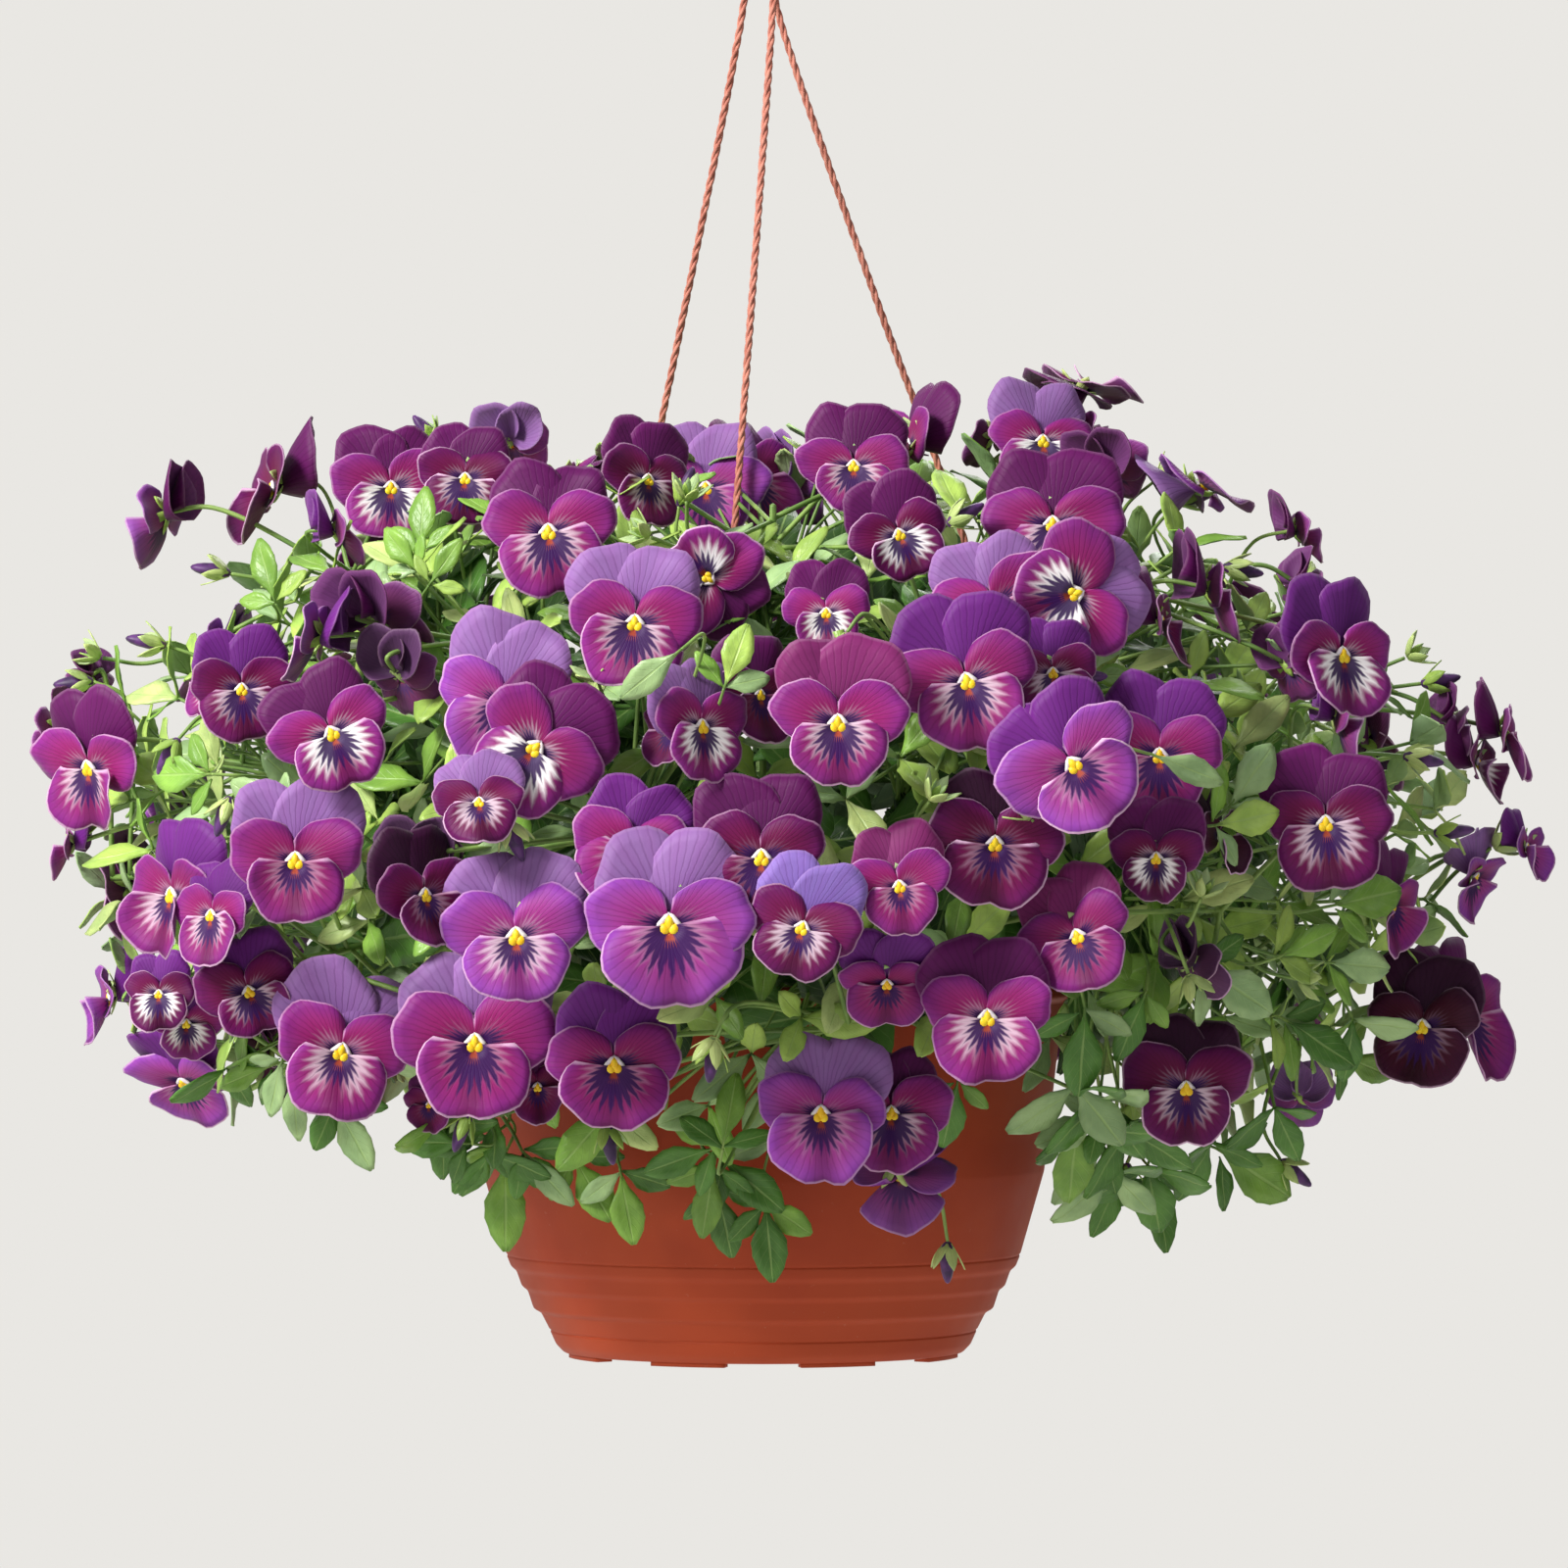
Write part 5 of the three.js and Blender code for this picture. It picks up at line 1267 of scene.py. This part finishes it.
def leaf(bm, face, length, seed, mix, rows=9):
    """An oval leaf with scalloped edges, folded a little along its midrib and bent back at its tip."""
    colour = leaf_colour(seed, mix)
    attributes = {"leaf_place": lambda u, v: (u, v, 0), "leaf_colour": lambda u, v: colour}
    half = length * (0.18 + 0.08 * scatter(seed, 43))
    fold, twist = 0.25 * scatter(seed, 44), 0.5 * (scatter(seed, 46) - 0.5)
    bend = SAG * (0.6 + 0.9 * scatter(seed, 45))

    def shape(u, v):
        oval = max(0.05, math.sin(math.pi * (0.07 + 0.91 * v) ** 1.2)) ** 0.72
        wide = half * oval * min(1, 0.25 + 1.9 * v)
        if abs(u) > 0.99:
            wide *= 1.04 if round(v * rows) % 2 else 0.98
        x = u * wide
        z = fold * abs(x) - bend * length * v * v + twist * x * v + 0.02 * length * math.sin(9 * v + 3 * u)
        return face @ Vector((x, (v - 0.5) * length, z))

    sheet(bm, 4, rows, LEAF, shape, attributes)


# %% [markdown]
# ## Foliage
#
# A viola is a mound of short leafy sprigs, and its blooms stand just clear of them. Each sprig is a
# rosette of three leaves on a thin stem. Sprigs are spread evenly over two shells under the canopy: an
# outer one of fresh small leaves, and an inner one of larger dark leaves that closes the view into the
# plant. The inner leaves' dark greens are partly their own deeper colour and partly painted shade for the
# depth of the mound. A line of pixels keeps the front sprigs above the part of the pot that the photograph
# shows, and none grows before the front rope or one low bloom. The few sprigs that hang lower, beside and
# before the pot, are read from the photograph one by one, like the blooms.

# %% Where the sprigs go
OUTER_SPRIGS, INNER_SPRIGS = 560, 300
HIGHEST_SPRIG, LOWEST_SPRIG = 1.0, -0.74
OUTER_DEPTH, INNER_DEPTH = (0.76, 0.19), (0.5, 0.2)
LOW_EDGE = [
    (0, 900), (60, 1000), (140, 1090), (220, 1130), (360, 1140), (440, 1170), (520, 1215), (600, 1200),
    (700, 1215), (780, 1225), (840, 1150), (900, 1060), (1060, 1060), (1110, 1180), (1200, 1215),
    (1320, 1180), (1420, 1080), (1560, 950), (1700, 880),
]
LOW_EDGE_CLEAR = 30
ROPE_PIXEL, ROPE_ENDS, ROPE_CLEAR = 758, 566, 34
BARE_SPOT, BARE_RADIUS = (308, 1034), 45
POT_CLEAR, POT_CLEAR_ABOVE = 4, 14
LOW_SPRIGS = [
    (1098, 1108), (1122, 1122), (1150, 1150), (1098, 1150), (1170, 1190), (1135, 1195), (1235, 1165),
    (1300, 1130), (1380, 1040), (452, 1145), (232, 1090), (500, 1175),
]
LOW_OUTWARD = Vector((0.2, -0.5, -0.84))
LOW_SEED = 2000


def low_edge(pixel):
    """The lowest pixel where leaves grow, at a pixel across."""
    for (x0, y0), (x1, y1) in zip(LOW_EDGE, LOW_EDGE[1:]):
        if x0 <= pixel < x1:
            return y0 + (y1 - y0) * (pixel - x0) / (x1 - x0)
    return LOW_EDGE[0][1] if pixel < 0 else LOW_EDGE[-1][1]


def pixel_of(at):
    """The photograph's pixel that shows a place."""
    reach = MM_PER_PIXEL * (VIEW_DISTANCE + at.y) / VIEW_DISTANCE
    offset = (PICTURE_CENTRE - AXIS_PIXEL) * MM_PER_PIXEL
    return PICTURE_CENTRE + (at.x - offset) / reach, PICTURE_CENTRE + (VIEW_HEIGHT - at.z) / reach


def leaf_face(base, tip, outward, length):
    """A leaf's matrix from its base, the way its tip points and the way its upper side looks."""
    side = tip.cross(outward).normalized()
    turned = Matrix((side, tip, side.cross(tip))).transposed().to_4x4()
    return Matrix.Translation(base + tip * length / 2) @ turned


def sprig(at, outward, size, opening, leaves, seed):
    """Faces and lengths of a rosette's leaves."""
    across = outward.cross(Vector((0.3, 0.2, 1))).normalized()
    upper = (outward + Vector((0, 0, 0.35))).normalized()
    result = []
    for i in range(leaves):
        around = Matrix.Rotation(2 * math.pi * (i / leaves + scatter(seed, 51)), 3, outward)
        lean = opening * (0.75 + 0.5 * scatter(seed + i, 52))
        tip = (outward * math.cos(lean) + around @ across * math.sin(lean)).normalized()
        length = size * (0.75 + 0.5 * scatter(seed + i, 53))
        result.append((leaf_face(at, tip, upper, length), length))
    return result


def stays_bare(at, kind):
    """Whether a place is kept free of sprigs, because the photograph shows something else there."""
    x, y = pixel_of(at)
    before_rope = abs(x - ROPE_PIXEL) < ROPE_CLEAR and y < ROPE_ENDS
    before_bloom = kind == "outer" and math.hypot(x - BARE_SPOT[0], y - BARE_SPOT[1]) < BARE_RADIUS
    return y > low_edge(x) - LOW_EDGE_CLEAR or (at.y < 0 and (before_rope or before_bloom))


for count, kind, (depth, spread) in (
    (OUTER_SPRIGS, "outer", OUTER_DEPTH), (INNER_SPRIGS, "inner", INNER_DEPTH),
):
    for i in range(count):
        rise = HIGHEST_SPRIG - (HIGHEST_SPRIG - LOWEST_SPRIG) * (i + 0.5) / count
        toward = direction(i * GOLDEN_ANGLE, rise)
        at = on_canopy(toward, depth + spread * scatter(i, 61))
        ring, widest = math.hypot(at.x, at.y), HANG_RADIUS - POT_CLEAR
        if at.z < RIM_TOP + POT_CLEAR_ABOVE and ring < widest:
            at.x, at.y = at.x * widest / ring, at.y * widest / ring
        if not stays_bare(at, kind):
            outward = (toward + Vector((0, 0, 0.25))).normalized()
            nearest_shoot(at + toward * 30)["sprigs"].append((at, outward, kind, i))
for i, (x, y) in enumerate(LOW_SPRIGS):
    at = in_view(x, y, -1)
    nearest_shoot(at)["sprigs"].append((at, LOW_OUTWARD, "low", LOW_SEED + i))
print("sprigs:", sum(len(shoot["sprigs"]) for shoot in shoots))

# %% Grow the shoots
# The inner mix is half painted shade: its "shade" green stands for the shade inside the mound.
MIXES = {
    "outer": ("new", "fresh", "fresh", "mid", "grey"), "inner": ("deep", "deep", "shade", "shade"),
    "front": ("fresh", "mid", "mid", "grey"), "low": ("mid", "deep", "deep", "deep", "grey"),
    "lone": ("grey",),
}
# Each kind of sprig: its leaves' length, how far they open, and the rows of a leaf's grid.
SPRIGS = {"outer": (25, 0.95, 8), "inner": (36, 1.15, 5), "low": (30, 0.95, 9)}
SPRIG_LEAVES = 3
WHORL_LEAVES, WHORL_LENGTH, WHORL_OPENING = 5, 42, 1.25
FRONT_LEAF_SIZE = 0.86


def add_tubes(bm, lines):
    """Adds stems and stalks to a bmesh."""
    count = len(bm.faces)
    bm.from_mesh(tubes(lines))
    bm.faces.ensure_lookup_table()
    for face in bm.faces[count:]:
        face.material_index = STEM


def side_leaves(bm, face, length, seed, mix):
    """Two smaller leaves beside a front leaf, one on each side of its base."""
    for side in (-1, 1):
        swing = Matrix.Rotation(side * (0.75 + 0.4 * scatter(seed, 47)), 4, "Z")
        tilt = Matrix.Rotation(0.25 * side, 4, "Y")
        reach = Matrix.Translation((0, 0.31 * length, -1.5 - side))
        start = face @ Matrix.Translation((0, -0.47 * length, 0)) @ swing @ tilt @ reach
        leaf(bm, start, length * (0.5 + 0.15 * scatter(seed + side, 48)), seed * 7 + side, mix, 8)


for number, shoot in enumerate(shoots, 1):
    sheets = new_bmesh()
    lines = [(shoot["stem"], STALK_RADIUS, 1.3)]
    for i, item in enumerate(shoot["leaves"]):
        face, length, seed = item["face"], item["length"], number * 100 + i
        mix = MIXES["lone" if item["lone"] else "low" if item["at"].z < RIM_TOP else "front"]
        leaf(sheets, face @ Matrix.Scale(FRONT_LEAF_SIZE, 4), length, seed, mix, 11)
        if not item["lone"]:
            side_leaves(sheets, face, length, seed, mix)
        base = face @ Vector((0, -0.5 * length, 0))
        start = along(shoot["stem"], 0.8 + 0.2 * scatter(i, number))
        bend = base - (face.to_3x3() @ Vector((0, 0.3, 0.25))) * length
        lines.append((smooth_line([start, bend, base]), 0.9, 0.6))
        lines.append(([base, face @ Vector((0, -0.3 * length, -0.6))], 0.6, 0.5))
    # The whorl leaves at the fork take the inner mix, with its painted shade green.
    for i in range(WHORL_LEAVES):
        seed = number * 10 + i
        for face, length in sprig(shoot["fork"], shoot["toward"], WHORL_LENGTH, WHORL_OPENING, 1, seed):
            leaf(sheets, face, length, number * 60 + i, MIXES["inner"], 7)
    for at, outward, kind, seed in shoot["sprigs"]:
        size, opening, rows = SPRIGS[kind]
        for i, (face, length) in enumerate(sprig(at, outward, size, opening, SPRIG_LEAVES, seed)):
            leaf(sheets, face, length, seed * 3 + i, MIXES[kind], rows)
        start = along(shoot["stem"], 0.62 + 0.38 * scatter(seed, 71))
        middle = (start + at) / 2 + Vector((0, 0, 8 * scatter(seed, 72)))
        lines.append((smooth_line([start, middle, at]), 1.0, 0.7))
    bm = thickened(sheets)
    add_tubes(bm, lines)
    new_piece(f"leafy_sprigs_{number:02d}", bm, PLANT_FINISHES, [f"leafy_shoot_{number:02d}"])
print("leafy shoots grown")

# %% [markdown]
# The bunches come last. Each bloom, bud and calyx stands on its own thin stalk, which leaves the shoot's
# flowering spur and bends into place from below or behind.

# %% Grow the bunches
NECK = 13
NECK_BOW = 0.1
THROAT = (0.05, 0.06)
# A bloom's sepals, for its height: their length and how far they spread.
SEPALS_HIDDEN, SEPALS_SEEN = (0.18, 1.7), (0.25, 1.15)
CALYX_FOOT = 3


def stalk(spur, share, face, foot):
    """The line of a stalk from a share of the spur to the foot of a bud or a calyx."""
    base, start = face @ Vector((0, -foot, 0)), along(spur, share)
    bend = base - (face.to_3x3() @ Vector((0, 1, 0))) * NECK
    return smooth_line([start, bend.lerp(start, NECK_BOW), base])


for number, shoot in enumerate(shoots, 1):
    sheets, lumps = new_bmesh(), new_bmesh()
    spur = shoot["spur"]
    lines = [(spur, STALK_RADIUS, 1.3)]
    for i, item in enumerate(shoot["blooms"]):
        face, height, seed = item["face"], item["height"], number * 40 + i
        bloom(sheets, item, seed)
        eye(lumps, face, height)
        seen_from_behind = face.to_3x3().col[2].y > -0.45
        size, spread = SEPALS_SEEN if seen_from_behind else SEPALS_HIDDEN
        calyx = face @ Matrix.Translation((THROAT[0] * height, THROAT[1] * height, -0.075 * height))
        sepals(sheets, calyx @ Matrix.Rotation(math.pi / 2, 4, "X"), size * height, seed, spread)
        end, start = calyx.translation, along(spur, 0.2 + 0.8 * scatter(i, number))
        behind = face.to_3x3() @ Vector((0, 0.35, -1)).normalized()
        lines.append((smooth_line([start, (end + behind * NECK).lerp(start, NECK_BOW), end]), 1.1, 0.9))
    for i, face in enumerate(shoot["buds"]):
        bud(lumps, sheets, face, number * 30 + i)
        lines.append((stalk(spur, 0.3 + 0.7 * scatter(i, number + 50), face, BUD_FOOT), 1.0, 0.8))
    for i, face in enumerate(shoot["calyces"]):
        sepals(sheets, face @ Matrix.Translation((0, -2, 0)), 13, number * 30 + 3 * i, 0.85)
        sepals(sheets, face @ Matrix.Translation((0, -1, 0)), 8, number * 30 + i + 1, 0.45, 3)
        lines.append((stalk(spur, 0.3 + 0.7 * scatter(i, number + 80), face, CALYX_FOOT), 1.0, 0.8))
    bm = thickened(sheets)
    add_part(bm, lumps)
    add_tubes(bm, lines)
    new_piece(f"viola_blooms_{number:02d}", bm, PLANT_FINISHES, [f"viola_bunch_{number:02d}"])
print("bunches grown")

# %% [markdown]
# ## Light and floor
#
# The photograph has soft daylight from the upper left and a very pale background. A large area light
# gives the direction, a weaker one opens the shadows on the right, and the pale world fills the rest. The
# floor is a plain pale disc under the pot, below the picture's edge.

# %% Light the scene
FLOOR_HEIGHT, FLOOR_RADIUS = -0.95, 2.3
LIGHTS_AIM = Vector((0, 0, -0.42))


def area_light(name, at, size, power, colour):
    """A round area light that looks at the plants."""
    light = bpy.data.lights.new(name, "AREA")
    light.shape = "DISK"
    light.size = size
    light.energy = power
    light.color = colour
    obj = bpy.data.objects.new(name, light)
    obj.location = at
    obj.rotation_euler = (LIGHTS_AIM - Vector(at)).to_track_quat("-Z", "Y").to_euler()
    scene.collection.objects.link(obj)


area_light("window_left", (-1.9, -1.6, 1.25), 0.9, 114, (1.0, 0.98, 0.94))
area_light("sky_right", (1.9, -1.3, 0.9), 1.4, 6, (0.97, 0.98, 1.0))
area_light("sky_behind", (0.4, 2.0, 1.2), 1.6, 30, (1.0, 1.0, 1.0))

world = bpy.data.worlds.new("pale daylight")
world.use_nodes = True
scene.world = world
nodes = Nodes(world.node_tree)
background = world.node_tree.nodes["Background"]
seen = nodes.add("ShaderNodeLightPath").outputs["Is Camera Ray"]
background.inputs["Color"].default_value = srgb(233, 231, 227)
toward = nodes.add("ShaderNodeSeparateXYZ")
nodes.feed(toward.inputs[0], nodes.add("ShaderNodeTexCoord").outputs["Generated"])
daylight = nodes.math("SUBTRACT", 0.4, nodes.product(toward.outputs[0], 0.3))
daylight = nodes.math("ADD", daylight, nodes.product(toward.outputs[2], 0.12))
rest = nodes.product(daylight, nodes.math("SUBTRACT", 1.0, seen))
nodes.feed(background.inputs["Strength"], nodes.math("ADD", rest, seen))
scene.view_settings.view_transform = "Standard"

floor_finish = mottled_finish("pale floor", 0.8, (204, 202, 198), (196, 194, 190), 2.0)[0]
bm = bmesh.new()
bmesh.ops.create_circle(bm, cap_ends=True, segments=96, radius=FLOOR_RADIUS)
bmesh.ops.translate(bm, verts=bm.verts, vec=(0, 0, FLOOR_HEIGHT))
mesh = bpy.data.meshes.new("floor")
bm.to_mesh(mesh)
bm.free()
mesh.materials.append(floor_finish)
floor = bpy.data.objects.new("floor", mesh)
scene.collection.objects.link(floor)
print("lights:", len(bpy.data.lights))
